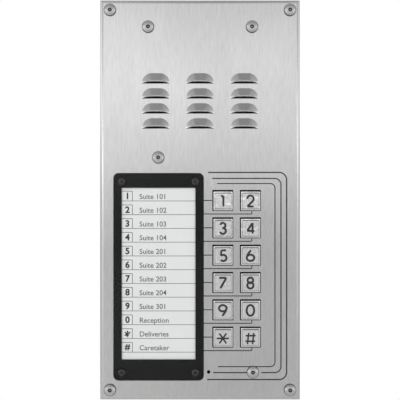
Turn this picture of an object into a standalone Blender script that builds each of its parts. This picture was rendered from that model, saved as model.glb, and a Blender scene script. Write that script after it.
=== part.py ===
"""Door intercom panel: a louvred faceplate with a keypad, a directory and a speaker, on a back box.

Metres, +Z up, the front faces -Y. The origin is the middle of the back box's rear face, which lies
on the wall at Y = 0. A depth is a Y value, and a greater depth is nearer to the wall.
"""

import math

import bmesh
import bpy
from mathutils import Matrix, Vector

NAME = "door_intercom_panel"
GAP = 0.0003  # between pieces that touch

# Faceplate: a sheet folded back all round
PLATE_W = 0.127
PLATE_H = 0.254
PLATE_T = 0.0019
BEND_R = 0.0023
FLANGE_DEPTH = 0.009
DEPTH = 0.052  # wall to the faceplate's front

# Screws
SCREW_CLEARANCE = 0.0003
CORNER_INSET = 0.00635
BUTTON_R = 0.0039
BUTTON_H = 0.0019
SOCKET_R = 0.00135
SOCKET_DEPTH = 0.0009
SCREW_R = 0.002
CORNER_SCREW_L = 0.016
CHASSIS_SCREW_L = 0.012
LENS_SCREW_R = 0.00125
LENS_HEAD_R = 0.0024
LENS_HEAD_H = 0.0008
LENS_SCREW_L = 0.009

# Louvres: rows and columns, centred on the plate's width
LOUVRE_COLUMNS = 3
LOUVRE_ROWS = 4
LOUVRE_PITCH_X = 0.0281
LOUVRE_PITCH_Z = 0.00953
LOUVRE_W = 0.0178
LOUVRE_H = 0.0071
LOUVRE_RISE = 0.0022
LOUVRE_LIP = 0.0015  # height of the open slot under the hood
LOUVRE_END = 0.0063  # length of a hood's rounded end
LOUVRE_SKIN = 0.0011
LOUVRE_TOP_MARGIN = 0.0462  # plate's top edge to the highest hood

# Directory lens and what lies under it
WINDOW_W = 0.0467
WINDOW_SPARE_H = 0.0046  # window's height beyond its lines
LENS_T = 0.0015
LENS_CORNER_R = 0.0032
LENS_LEFT_MARGIN = 0.0086
LENS_BOTTOM_MARGIN = 0.0126
LENS_SCREW_INSET = 0.0054
BORDER_SIDE = 0.0053
BORDER_TOP = 0.0094
BORDER_BOTTOM = 0.0134
MASK_T = 0.0003
LENS_GASKET_T = 0.0007
CARD_T = 0.0004
CARD_LAP = 0.001  # how far the card runs under the border
CARD_CLEARANCE = 0.0003

# Keypad
KEY_NAMES = ("1", "2", "3", "4", "5", "6", "7", "8", "9", "0", "star", "hash")
KEY_COLUMNS = 2
KEY_PITCH_X = 0.0175
KEY_PITCH_Z = 0.01735
KEY_HOLE = 0.0133
KEY_CLEARANCE = 0.0003
KEY_RIGHT_MARGIN = 0.0315  # plate's right edge to the last column's centre
KEY_TOP_DROP = 0.0174  # lens's top edge to the first row's centre
KEY_TRAVEL = 0.0013
KEY_BEVEL = 0.0012
KEY_RIM_SINK = 0.0008  # rim of the key, behind the plate's front
KEY_PLATEAU_RISE = 0.0005  # plateau of the key, before the plate's front
KEY_EDGE = 0.0002
KEY_FLANGE_LAP = 0.00095  # how far the flange runs behind the plate
KEY_FLANGE_T = 0.0012
KEY_PLUNGER = 0.005
KEY_PLUNGER_L = 0.0011
FRAME_SIDE = 0.003
FRAME_EAR = 0.0073
MAT_T = 0.0012
DOME_R = 0.0044
DOME_TOP_R = 0.003
DOME_SKIN = 0.0006
BOARD_T = 0.0016

# Microphone
MIC_HOLE_R = 0.0011
MIC_FROM_LENS = 0.0031
MIC_ABOVE_LENS_FOOT = 0.0052
MIC_R = 0.0048
MIC_L = 0.0035
BOOT_WALL = 0.0014
BOOT_FLOOR = 0.001

# Chassis screws and standoffs
CHASSIS_X = 0.033
CHASSIS_TOP_MARGIN = 0.017
CHASSIS_OVER_LENS = 0.0099
CHASSIS_FROM_LENS_LEFT = 0.0284
CHASSIS_ABOVE_LENS_FOOT = 0.0051
CHASSIS_PAST_KEYS = 0.0016
STANDOFF_R = 0.0033
SPIGOT_R = 0.0027

# Studs welded to the plate's rear
STUD_R = 0.0015
STUD_ROOT = 0.0006
KEYPAD_STUD_L = 0.0095
SPEAKER_STUD_L = 0.0065

# Speaker
SPEAKER_R = 0.033
SPEAKER_FLANGE = 0.0055
SPEAKER_FLANGE_T = 0.0012
SPEAKER_DEPTH = 0.012
SPEAKER_NECK_R = 0.0145
SPEAKER_RIM_DEPTH = 0.0035
SPEAKER_SHEET = 0.0012
SCREEN_T = 0.0006
SCREEN_MARGIN = 0.0025
SPEAKER_GASKET_T = 0.001
MAGNET_R = 0.017
MAGNET_T = 0.008
CONE_CLEARANCE = 0.0006
CONE_TRAVEL = 0.0005
CONE_DEPTH = 0.0075
CONE_T = 0.0008
CAP_R = 0.0075

# Main board and what stands on it
BOARD_SIDE_MARGIN = 0.0155
BOARD_END_MARGIN = 0.0115
BOARD_DEPTH = 0.0285  # plate's rear to the main board's front
TERMINALS = (0.034, 0.010, 0.0085)
DIP = (0.0082, 0.004, 0.0098)
DIP_PITCH = 0.0034
DIP_SLOT_W = 0.0018
DIP_SLOT_DEPTH = 0.0016
DIP_LEVER = (0.0012, 0.0018, 0.0016)
DIP_TRAVEL = 0.0018
TRIMMER = (0.0095, 0.0048, 0.0095)
TRIMMER_WELL_R = 0.0034
TRIMMER_WELL = 0.0016
ROTOR_SLOT = (0.0045, 0.0007, 0.001)
RELAY = (0.0155, 0.0150, 0.0190)
TRANSFORMER = (0.0220, 0.0140, 0.0190)
# Places on the board: across from its nearer side, and up from its lower end
TERMINALS_PLACE = (0.030, 0.012)
RELAY_PLACE = (0.018, 0.062)
TRANSFORMER_PLACE = (0.022, 0.096)
DIP_PLACE = (0.028, 0.030)
VOLUME_PLACE = (0.018, 0.055)
MICROPHONE_TRIMMER_PLACE = (0.018, 0.075)

# Back box: a casting with a post in each corner
BOX_CLEARANCE = 0.0005
BOX_WALL = 0.002
BOX_POST = 0.011
BOX_GASKET_T = 0.001
BOX_GASKET_W = 0.0045
CABLE_HOLE_R = 0.0075
CABLE_BORE_R = 0.005
CABLE_ABOVE = 0.06
GROMMET_LIP = 0.0025
GROMMET_LIP_T = 0.0018
WALL_HOLE_R = 0.0025
WALL_HOLE_INSET = 0.018

# Wires
RIBBON_W = 0.014
RIBBON_T = 0.0009
RIBBON_DROP = 0.03
RIBBON_START = 0.015  # above the keypad's middle
WIRE_R = 0.0009
SPEAKER_WIRE_SIDE = 0.003
SPEAKER_WIRE_START = 0.004
SPEAKER_WIRE_DROP = 0.020
MICROPHONE_WIRE_SIDE = 0.008
MICROPHONE_WIRE_RISE = 0.010

# Numbers of sides on round pieces
SCREW_SIDES = 12
HOLE_SIDES = 16
STUD_SIDES = 8
SPEAKER_SIDES = 28
DOME_SIDES = 8

# Sizes that follow from the ones above
KEY_ROWS = len(KEY_NAMES) // KEY_COLUMNS
KEY_CAP = KEY_HOLE - 2 * KEY_CLEARANCE
KEY_FLANGE = KEY_HOLE + 2 * KEY_FLANGE_LAP
POCKET = KEY_FLANGE + 2 * KEY_CLEARANCE
DOME_H = KEY_TRAVEL
WINDOW_H = KEY_ROWS * KEY_PITCH_Z + WINDOW_SPARE_H  # a line of the directory for each key
LENS_W = WINDOW_W + 2 * BORDER_SIDE
LENS_H = WINDOW_H + BORDER_TOP + BORDER_BOTTOM
STUD_CIRCLE_R = SPEAKER_R - SPEAKER_FLANGE / 2
DIP_SLOT_H = DIP_LEVER[2] + DIP_TRAVEL + 2 * GAP

# Depths of the layers, from the front to the wall
PLATE_FRONT = -DEPTH
PLATE_REAR = PLATE_FRONT + PLATE_T
LENS_GASKET_REAR = PLATE_FRONT - GAP
LENS_GASKET_FRONT = LENS_GASKET_REAR - LENS_GASKET_T
MASK_REAR = LENS_GASKET_FRONT - GAP
MASK_FRONT = MASK_REAR - MASK_T
LENS_REAR = MASK_FRONT - GAP
LENS_FRONT = LENS_REAR - LENS_T
KEY_FLANGE_FRONT = PLATE_REAR + GAP
KEY_FLANGE_REAR = KEY_FLANGE_FRONT + KEY_FLANGE_T
KEY_FOOT = KEY_FLANGE_REAR + KEY_PLUNGER_L
DOME_TOP = KEY_FOOT + GAP
MAT_FRONT = DOME_TOP + DOME_H
MAT_REAR = MAT_FRONT + MAT_T
FRAME_FRONT = PLATE_REAR + GAP
FRAME_REAR = MAT_FRONT - GAP
KEYPAD_BOARD_FRONT = MAT_REAR + GAP
KEYPAD_BOARD_REAR = KEYPAD_BOARD_FRONT + BOARD_T
SCREEN_FRONT = PLATE_REAR + GAP
SCREEN_REAR = SCREEN_FRONT + SCREEN_T
SPEAKER_GASKET_FRONT = SCREEN_REAR + GAP
SPEAKER_GASKET_REAR = SPEAKER_GASKET_FRONT + SPEAKER_GASKET_T
SPEAKER_FRONT = SPEAKER_GASKET_REAR + GAP
SPEAKER_REAR = SPEAKER_FRONT + SPEAKER_DEPTH
BOARD_FRONT = PLATE_REAR + BOARD_DEPTH
BOARD_REAR = BOARD_FRONT + BOARD_T
BOX_GASKET_FRONT = PLATE_REAR + GAP
BOX_RIM = BOX_GASKET_FRONT + BOX_GASKET_T + GAP

# Places across the plate
LENS_LEFT = -PLATE_W / 2 + LENS_LEFT_MARGIN
LENS_RIGHT = LENS_LEFT + LENS_W
LENS_FOOT = -PLATE_H / 2 + LENS_BOTTOM_MARGIN
LENS_TOP = LENS_FOOT + LENS_H
WINDOW_X = (LENS_LEFT + BORDER_SIDE, LENS_RIGHT - BORDER_SIDE)
WINDOW_Z = (LENS_FOOT + BORDER_BOTTOM, LENS_TOP - BORDER_TOP)
LAST_KEY_X = PLATE_W / 2 - KEY_RIGHT_MARGIN
FIRST_KEY_X = LAST_KEY_X - (KEY_COLUMNS - 1) * KEY_PITCH_X
FIRST_KEY_Z = LENS_TOP - KEY_TOP_DROP
LAST_KEY_Z = FIRST_KEY_Z - (KEY_ROWS - 1) * KEY_PITCH_Z
KEYPAD_X = (FIRST_KEY_X - POCKET / 2 - FRAME_SIDE, LAST_KEY_X + POCKET / 2 + FRAME_SIDE)
KEYPAD_Z = (LAST_KEY_Z - POCKET / 2 - FRAME_EAR, FIRST_KEY_Z + POCKET / 2 + FRAME_EAR)
LOUVRE_FOOT = PLATE_H / 2 - LOUVRE_TOP_MARGIN - LOUVRE_H - (LOUVRE_ROWS - 1) * LOUVRE_PITCH_Z
LOUVRE_FIELD_W = (LOUVRE_COLUMNS - 1) * LOUVRE_PITCH_X + LOUVRE_W
LOUVRE_FIELD_H = (LOUVRE_ROWS - 1) * LOUVRE_PITCH_Z + LOUVRE_H
SPEAKER_Z = LOUVRE_FOOT + LOUVRE_FIELD_H / 2
MIC_PLACE = (LENS_RIGHT + MIC_FROM_LENS, LENS_FOOT + MIC_ABOVE_LENS_FOOT)
BOX_X = PLATE_W / 2 - PLATE_T - BOX_CLEARANCE
BOX_Z = PLATE_H / 2 - PLATE_T - BOX_CLEARANCE
BOARD_X = PLATE_W / 2 - BOARD_SIDE_MARGIN
BOARD_Z = PLATE_H / 2 - BOARD_END_MARGIN


def corners(x, z, middle=(0.0, 0.0)):
    """The four (x, z) places at these distances from the middle, clockwise from the top left."""
    cx, cz = middle
    return [(cx - x, cz + z), (cx + x, cz + z), (cx + x, cz - z), (cx - x, cz - z)]


CORNER_PLACES = corners(PLATE_W / 2 - CORNER_INSET, PLATE_H / 2 - CORNER_INSET)
CHASSIS_PLACES = [
    (-CHASSIS_X, PLATE_H / 2 - CHASSIS_TOP_MARGIN),
    (CHASSIS_X, PLATE_H / 2 - CHASSIS_TOP_MARGIN),
    (LENS_LEFT + CHASSIS_FROM_LENS_LEFT, LENS_TOP + CHASSIS_OVER_LENS),
    (LAST_KEY_X + CHASSIS_PAST_KEYS, LENS_FOOT + CHASSIS_ABOVE_LENS_FOOT),
]
LENS_SCREW_PLACES = corners(
    LENS_W / 2 - LENS_SCREW_INSET,
    LENS_H / 2 - LENS_SCREW_INSET,
    ((LENS_LEFT + LENS_RIGHT) / 2, (LENS_FOOT + LENS_TOP) / 2),
)
KEY_PLACES = [
    (FIRST_KEY_X + column * KEY_PITCH_X, FIRST_KEY_Z - row * KEY_PITCH_Z)
    for row in range(KEY_ROWS)
    for column in range(KEY_COLUMNS)
]
KEYPAD_STUD_PLACES = corners(
    (KEYPAD_X[1] - KEYPAD_X[0]) / 2 - FRAME_EAR / 2,
    (KEYPAD_Z[1] - KEYPAD_Z[0]) / 2 - FRAME_EAR / 2,
    (sum(KEYPAD_X) / 2, sum(KEYPAD_Z) / 2),
)
SPEAKER_STUD_PLACES = corners(
    STUD_CIRCLE_R * math.cos(math.pi / 4), STUD_CIRCLE_R * math.sin(math.pi / 4), (0.0, SPEAKER_Z)
)


# ---------------------------------------------------------------- tools


def clear_scene():
    for obj in list(bpy.data.objects):
        bpy.data.objects.remove(obj)


def collection(name):
    made = bpy.data.collections.new(name)
    bpy.context.scene.collection.children.link(made)
    return made


def material(name, colour, roughness, metallic=0.0, alpha=1.0):
    made = bpy.data.materials.new(name)
    made.use_nodes = True
    shader = made.node_tree.nodes["Principled BSDF"]
    shader.inputs["Base Color"].default_value = (*colour, 1.0)
    shader.inputs["Roughness"].default_value = roughness
    shader.inputs["Metallic"].default_value = metallic
    shader.inputs["Alpha"].default_value = alpha
    return made


def mesh_object(name, bm, place=(0.0, 0.0, 0.0)):
    mesh = bpy.data.meshes.new(name)
    bm.to_mesh(mesh)
    bm.free()
    obj = bpy.data.objects.new(name, mesh)
    obj.location = place
    return obj


def as_part(obj, finish, smooth=False):
    """Puts a finished sub-part in the object's collection, with its material."""
    obj.data.materials.append(finish)
    if smooth:
        obj.data.shade_smooth()
    bpy.data.collections[NAME].objects.link(obj)
    return obj


def as_tool(obj):
    """A shape that only cuts or adds to a part."""
    obj.display_type = "WIRE"
    obj.hide_render = True
    bpy.data.collections["tools"].objects.link(obj)
    return obj


def apply_tool(part, tool, operation):
    boolean = part.modifiers.new(tool.name, "BOOLEAN")
    boolean.object = as_tool(tool)
    boolean.operation = operation
    boolean.solver = "EXACT"


def cut(part, tool):
    apply_tool(part, tool, "DIFFERENCE")


def join(part, tool):
    apply_tool(part, tool, "UNION")


def slab(name, x, y, z, corner=0.0, steps=4):
    """A block between two values of X, of Y and of Z, its corners rounded as seen from the front."""
    size = Vector((x[1] - x[0], y[1] - y[0], z[1] - z[0]))
    bm = bmesh.new()
    bmesh.ops.create_cube(bm, size=1.0)
    bmesh.ops.scale(bm, vec=size, verts=bm.verts)
    if corner:
        upright = [e for e in bm.edges if abs(e.verts[0].co.y - e.verts[1].co.y) > size.y / 2]
        bmesh.ops.bevel(
            bm, geom=upright, offset=corner, segments=steps, profile=0.5, affect="EDGES"
        )
    return mesh_object(name, bm, (sum(x) / 2, sum(y) / 2, sum(z) / 2))


def block(name, size, front, x, z):
    """A slab of a given (width, depth, height), from its front at this depth, centred on (x, z)."""
    width, depth, height = size
    return slab(
        name,
        (x - width / 2, x + width / 2),
        (front, front + depth),
        (z - height / 2, z + height / 2),
    )


def rods(name, places, radius, y, sides=HOLE_SIDES, tip_radius=None):
    """Cylinders along Y at each (x, z), or cones if the front has another radius."""
    bm = bmesh.new()
    front = radius if tip_radius is None else tip_radius
    for x, z in places:
        bmesh.ops.create_cone(
            bm,
            cap_ends=True,
            segments=sides,
            radius1=radius,
            radius2=front,
            depth=y[1] - y[0],
            matrix=Matrix.Translation((x, sum(y) / 2, z)) @ Matrix.Rotation(math.pi / 2, 4, "X"),
        )
    return mesh_object(name, bm)


def squares(name, places, side, y):
    """Square bars along Y at each (x, z)."""
    bm = bmesh.new()
    for x, z in places:
        size = Matrix.Diagonal((side, y[1] - y[0], side, 1.0))
        bmesh.ops.create_cube(bm, size=1.0, matrix=Matrix.Translation((x, sum(y) / 2, z)) @ size)
    return mesh_object(name, bm)


def stepped_bar(name, sections, place):
    """A square bar along Y that changes its side from its rear to its front: (side, depth) each."""
    (side, rear), (_, front), *others = sections
    bm = bmesh.new()
    size = Matrix.Diagonal((side, rear - front, side, 1.0))
    centre = Matrix.Translation((0.0, (rear + front) / 2, 0.0))
    bmesh.ops.create_cube(bm, size=1.0, matrix=centre @ size)
    tip = min(bm.faces, key=lambda face: face.calc_center_median().y)
    for side, depth in others:
        tip = bmesh.ops.extrude_discrete_faces(bm, faces=[tip])["faces"][0]
        for vert in tip.verts:
            vert.co = (
                math.copysign(side / 2, vert.co.x),
                depth,
                math.copysign(side / 2, vert.co.z),
            )
    return mesh_object(name, bm, place)


def turned(name, profile, place, sides=SCREW_SIDES, ring=False):
    """A shape turned about an axis along Y: (radius, height) down its outside, height to the front.

    A ring's profile is closed and runs down the outside and up the inside.
    """
    mesh = bpy.data.meshes.new(name)
    edges = [(i, i + 1) for i in range(len(profile) - 1)]
    if ring:
        edges.append((len(profile) - 1, 0))
    mesh.from_pydata([(radius, 0.0, height) for radius, height in profile], edges, [])
    obj = bpy.data.objects.new(name, mesh)
    obj.rotation_euler.x = math.pi / 2
    obj.location = place
    screw = obj.modifiers.new("Turn", "SCREW")
    screw.steps = sides
    screw.render_steps = sides
    screw.use_merge_vertices = True
    screw.merge_threshold = 0.00001
    return obj


def arc(centre, radius, start, end, steps):
    """Points on an arc of (radius x, radius y) about the centre, angles in degrees."""
    angles = [math.radians(start + (end - start) * i / steps) for i in range(steps + 1)]
    return [
        (centre[0] + radius[0] * math.cos(a), centre[1] + radius[1] * math.sin(a)) for a in angles
    ]


def smooth_route(points, steps):
    """A Catmull-Rom curve through the points."""
    knots = [Vector(p) for p in points]
    knots = [2 * knots[0] - knots[1], *knots, 2 * knots[-1] - knots[-2]]
    route = []
    for a, b, c, d in zip(knots, knots[1:], knots[2:], knots[3:]):
        for i in range(steps):
            t = i / steps
            route.append(
                (2 * b + (c - a) * t + (2 * a - 5 * b + 4 * c - d) * t**2
                 + (3 * b - 3 * c + d - a) * t**3) / 2
            )
    return [*route, knots[-2]]


def wire(name, points, radius, steps=4):
    """A round wire along a smooth curve through the points."""
    route = smooth_route(points, steps)
    curve = bpy.data.curves.new(name, "CURVE")
    curve.dimensions = "3D"
    curve.bevel_depth = radius
    curve.bevel_resolution = 1
    curve.use_fill_caps = True
    spline = curve.splines.new("POLY")
    spline.points.add(len(route) - 1)
    for point, place in zip(spline.points, route):
        point.co = (*place, 1.0)
    return bpy.data.objects.new(name, curve)


# ---------------------------------------------------------------- faceplate


def folded_sheet(name):
    """The sheet with its flanges: a box with no rear, its front edges rounded by the bend."""
    bm = bmesh.new()
    bmesh.ops.create_cube(bm, size=1.0)
    bmesh.ops.scale(bm, vec=(PLATE_W, FLANGE_DEPTH, PLATE_H), verts=bm.verts)
    rear = max(bm.faces, key=lambda face: face.calc_center_median().y)
    bmesh.ops.delete(bm, geom=[rear], context="FACES_ONLY")
    front = min(bm.faces, key=lambda face: face.calc_center_median().y)
    bmesh.ops.bevel(
        bm, geom=list(front.edges), offset=BEND_R, segments=4, profile=0.5, affect="EDGES"
    )
    obj = mesh_object(name, bm, (0.0, PLATE_FRONT + FLANGE_DEPTH / 2, 0.0))
    solidify = obj.modifiers.new("Sheet", "SOLIDIFY")
    solidify.thickness = PLATE_T
    solidify.offset = -1.0
    solidify.use_even_offset = True
    return obj


def slice_off(bm, place, normal):
    """Removes what lies beyond a plane and closes the opening."""
    geometry = [*bm.verts, *bm.edges, *bm.faces]
    bmesh.ops.bisect_plane(
        bm, geom=geometry, dist=1e-6, plane_co=place, plane_no=normal, clear_outer=True
    )
    bmesh.ops.holes_fill(bm, edges=[edge for edge in bm.edges if edge.is_boundary])


def hood(half_width, height, rise, rear, low):
    """The front half of a bar with rounded ends, above the height called low, as a mesh.

    The bar's axis is on X at the plate's front, and the hood's flat rear is at the depth rear.
    """
    bm = bmesh.new()
    turn = Matrix.Rotation(math.pi / 2, 4, "Y")
    bmesh.ops.create_uvsphere(bm, u_segments=16, v_segments=7, radius=1.0, matrix=turn)
    widest = max(vert.co.z for vert in bm.verts)
    middle = half_width - LOUVRE_END
    for vert in bm.verts:
        vert.co = (
            vert.co.x * LOUVRE_END + math.copysign(middle, vert.co.x),
            vert.co.y * rise / widest,
            vert.co.z * height / widest,
        )
    slice_off(bm, (0.0, 0.0, low), (0.0, 0.0, -1.0))
    slice_off(bm, (0.0, 0.0, 0.0), (0.0, 1.0, 0.0))
    back = max(bm.faces, key=lambda face: face.calc_center_median().y)
    back = bmesh.ops.extrude_discrete_faces(bm, faces=[back])["faces"][0]
    for vert in back.verts:
        vert.co.y = rear - PLATE_FRONT
    bmesh.ops.recalc_face_normals(bm, faces=bm.faces)
    mesh = bpy.data.meshes.new("hood")
    bm.to_mesh(mesh)
    bm.free()
    return mesh


def hoods(name, half_width, height, rise, rear, lip):
    """A hood at each louvre, with its lower edge this far above the louvre's foot."""
    pattern = hood(half_width, height, rise, rear, lip)
    bm = bmesh.new()
    for row in range(LOUVRE_ROWS):
        for column in range(LOUVRE_COLUMNS):
            x = (column - (LOUVRE_COLUMNS - 1) / 2) * LOUVRE_PITCH_X
            place = Vector((x, PLATE_FRONT, LOUVRE_FOOT + row * LOUVRE_PITCH_Z))
            before = len(bm.verts)
            bm.from_mesh(pattern)
            bm.verts.ensure_lookup_table()
            bmesh.ops.translate(bm, vec=place, verts=bm.verts[before:])
    bpy.data.meshes.remove(pattern)
    return mesh_object(name, bm)


def faceplate(finish):
    plate = folded_sheet("faceplate")
    through = (PLATE_FRONT - PLATE_T, PLATE_REAR + PLATE_T)
    join(
        plate,
        hoods(
            "louvre_hoods",
            LOUVRE_W / 2,
            LOUVRE_H,
            LOUVRE_RISE,
            PLATE_FRONT + PLATE_T / 2,
            LOUVRE_LIP,
        ),
    )
    cut(
        plate,
        hoods(
            "louvre_hollows",
            LOUVRE_W / 2 - LOUVRE_SKIN,
            LOUVRE_H - LOUVRE_SKIN,
            LOUVRE_RISE - LOUVRE_SKIN,
            PLATE_REAR + PLATE_T,
            0.0,
        ),
    )
    for name, places, length in (
        ("keypad_studs", KEYPAD_STUD_PLACES, KEYPAD_STUD_L),
        ("speaker_studs", SPEAKER_STUD_PLACES, SPEAKER_STUD_L),
    ):
        y = (PLATE_REAR - STUD_ROOT, PLATE_REAR + length)
        join(plate, rods(name, places, STUD_R, y, STUD_SIDES))
    cut(plate, squares("key_windows", KEY_PLACES, KEY_HOLE, through))
    screw_hole = SCREW_R + SCREW_CLEARANCE
    cut(plate, rods("plate_holes", CORNER_PLACES + CHASSIS_PLACES, screw_hole, through))
    lens_hole = LENS_SCREW_R + SCREW_CLEARANCE
    cut(plate, rods("lens_holes_in_plate", LENS_SCREW_PLACES, lens_hole, through, SCREW_SIDES))
    cut(plate, rods("microphone_hole", [MIC_PLACE], MIC_HOLE_R, through, SCREW_SIDES))
    return as_part(plate, finish)


# ---------------------------------------------------------------- screws


def button_screws(name, places, length, finish):
    """Screws with a domed head, a round socket in it, and a plain shank to the rear."""
    profile = [
        (0.0, BUTTON_H - SOCKET_DEPTH),
        (SOCKET_R, BUTTON_H - SOCKET_DEPTH),
        *arc((SOCKET_R, BUTTON_H / 4), (BUTTON_R - SOCKET_R, BUTTON_H * 3 / 4), 90, 0, 3),
        (BUTTON_R, 0.0),
        (SCREW_R, 0.0),
        (SCREW_R, -length),
        (0.0, -length),
    ]
    for i, (x, z) in enumerate(places):
        screw = turned(f"{name}_{i + 1}", profile, (x, PLATE_FRONT - GAP, z))
        as_part(screw, finish)


def lens_screws(finish):
    profile = [
        (0.0, LENS_HEAD_H),
        (LENS_HEAD_R - LENS_HEAD_H / 2, LENS_HEAD_H),
        (LENS_HEAD_R, LENS_HEAD_H / 2),
        (LENS_HEAD_R, 0.0),
        (LENS_SCREW_R, 0.0),
        (LENS_SCREW_R, -LENS_SCREW_L),
        (0.0, -LENS_SCREW_L),
    ]
    for i, (x, z) in enumerate(LENS_SCREW_PLACES):
        as_part(turned(f"lens_screw_{i + 1}", profile, (x, LENS_FRONT - GAP, z)), finish)


# ---------------------------------------------------------------- directory


def lens_outline(name, y):
    return slab(name, (LENS_LEFT, LENS_RIGHT), y, (LENS_FOOT, LENS_TOP), LENS_CORNER_R)


def drill_for_lens(part, y):
    """The four screw holes in a layer of the directory."""
    radius = LENS_SCREW_R + SCREW_CLEARANCE
    cut(part, rods(f"{part.name}_holes", LENS_SCREW_PLACES, radius, y, SCREW_SIDES))


def directory(clear, black, foam, white):
    beyond = (LENS_FRONT - GAP, PLATE_FRONT)
    lens = lens_outline("directory_lens", (LENS_FRONT, LENS_REAR))
    drill_for_lens(lens, beyond)
    as_part(lens, clear)

    mask = lens_outline("lens_mask", (MASK_FRONT, MASK_REAR))
    drill_for_lens(mask, beyond)
    cut(mask, slab("mask_window", WINDOW_X, beyond, WINDOW_Z))
    as_part(mask, black)

    card_x = (WINDOW_X[0] - CARD_LAP, WINDOW_X[1] + CARD_LAP)
    card_z = (WINDOW_Z[0] - CARD_LAP, WINDOW_Z[1] + CARD_LAP)
    card_front = LENS_GASKET_FRONT + (LENS_GASKET_T - CARD_T) / 2
    card = slab("directory_card", card_x, (card_front, card_front + CARD_T), card_z)
    as_part(card, white)

    gasket = lens_outline("lens_gasket", (LENS_GASKET_FRONT, LENS_GASKET_REAR))
    drill_for_lens(gasket, beyond)
    room_x = (card_x[0] - CARD_CLEARANCE, card_x[1] + CARD_CLEARANCE)
    room_z = (card_z[0] - CARD_CLEARANCE, card_z[1] + CARD_CLEARANCE)
    cut(gasket, slab("card_room", room_x, beyond, room_z))
    as_part(gasket, foam)


# ---------------------------------------------------------------- keypad


def keys(finish):
    """Each key's origin is on its slide axis, at the depth of the plate's front."""
    plateau = -KEY_PLATEAU_RISE
    plateau_side = KEY_CAP - 2 * KEY_BEVEL
    sections = [
        (KEY_PLUNGER, KEY_FOOT - PLATE_FRONT),
        (KEY_PLUNGER, KEY_FLANGE_REAR - PLATE_FRONT),
        (KEY_FLANGE, KEY_FLANGE_REAR - PLATE_FRONT),
        (KEY_FLANGE, KEY_FLANGE_FRONT - PLATE_FRONT),
        (KEY_CAP, KEY_FLANGE_FRONT - PLATE_FRONT),
        (KEY_CAP, KEY_RIM_SINK + KEY_EDGE),
        (KEY_CAP - 2 * KEY_EDGE, KEY_RIM_SINK),
        (plateau_side, plateau + KEY_EDGE),
        (plateau_side - 2 * KEY_EDGE, plateau),
    ]
    pattern = stepped_bar("key", sections, (0.0, 0.0, 0.0))
    pattern.data.materials.append(finish)
    for name, (x, z) in zip(KEY_NAMES, KEY_PLACES):
        key = bpy.data.objects.new(f"key_{name}", pattern.data)
        key.location = (x, PLATE_FRONT, z)
        bpy.data.collections[NAME].objects.link(key)
    bpy.data.objects.remove(pattern)


def keypad_frame(finish):
    frame = slab("keypad_frame", KEYPAD_X, (FRAME_FRONT, FRAME_REAR), KEYPAD_Z, FRAME_SIDE / 2)
    beyond = (FRAME_FRONT - PLATE_T, FRAME_REAR + PLATE_T)
    cut(frame, squares("key_pockets", KEY_PLACES, POCKET, beyond))
    hole = STUD_R + SCREW_CLEARANCE
    cut(frame, rods("frame_holes", KEYPAD_STUD_PLACES, hole, beyond, SCREW_SIDES))
    as_part(frame, finish)


def keypad_mat(finish):
    """A rubber sheet with a hollow dome under each key."""
    mat_z = (LAST_KEY_Z - POCKET / 2, FIRST_KEY_Z + POCKET / 2)
    mat_x = (FIRST_KEY_X - POCKET / 2, LAST_KEY_X + POCKET / 2)
    mat = slab("keypad_mat", mat_x, (MAT_FRONT, MAT_REAR), mat_z)
    middle = (MAT_FRONT + MAT_REAR) / 2
    join(mat, rods("domes", KEY_PLACES, DOME_R, (DOME_TOP, middle), DOME_SIDES, DOME_TOP_R))
    hollow = rods(
        "dome_hollows",
        KEY_PLACES,
        DOME_R - DOME_SKIN,
        (DOME_TOP + DOME_SKIN, MAT_REAR + GAP),
        DOME_SIDES,
        DOME_TOP_R - DOME_SKIN,
    )
    cut(mat, hollow)
    as_part(mat, finish)


def keypad_board(finish):
    board = slab(
        "keypad_board",
        KEYPAD_X,
        (KEYPAD_BOARD_FRONT, KEYPAD_BOARD_REAR),
        KEYPAD_Z,
        FRAME_SIDE / 2,
    )
    beyond = (KEYPAD_BOARD_FRONT - PLATE_T, KEYPAD_BOARD_REAR + PLATE_T)
    hole = STUD_R + SCREW_CLEARANCE
    cut(board, rods("keypad_board_holes", KEYPAD_STUD_PLACES, hole, beyond, SCREW_SIDES))
    as_part(board, finish)


# ---------------------------------------------------------------- microphone


def microphone(metal, rubber):
    """A capsule in a cup-shaped boot whose open end is against the plate."""
    x, z = MIC_PLACE
    front = PLATE_REAR + GAP
    capsule = [(0.0, 0.0), (MIC_R, 0.0), (MIC_R, -MIC_L), (0.0, -MIC_L)]
    as_part(turned("microphone_capsule", capsule, (x, front + GAP, z), HOLE_SIDES), metal)
    inner = MIC_R + GAP
    outer = inner + BOOT_WALL
    floor = -(MIC_L + 2 * GAP)
    boot = [
        (inner, 0.0),
        (outer, 0.0),
        (outer, floor - BOOT_FLOOR),
        (0.0, floor - BOOT_FLOOR),
        (0.0, floor),
        (inner, floor),
    ]
    # The boot's open end faces front, so its profile starts at the inner rim.
    as_part(turned("microphone_boot", boot[4:] + boot[:4], (x, front, z), HOLE_SIDES), rubber)


# ---------------------------------------------------------------- speaker


def louvre_screen(finish):
    half_w = LOUVRE_FIELD_W / 2 + SCREEN_MARGIN
    half_h = LOUVRE_FIELD_H / 2
    screen = slab(
        "louvre_screen",
        (-half_w, half_w),
        (SCREEN_FRONT, SCREEN_REAR),
        (SPEAKER_Z - half_h, SPEAKER_Z + half_h),
    )
    as_part(screen, finish)


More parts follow.
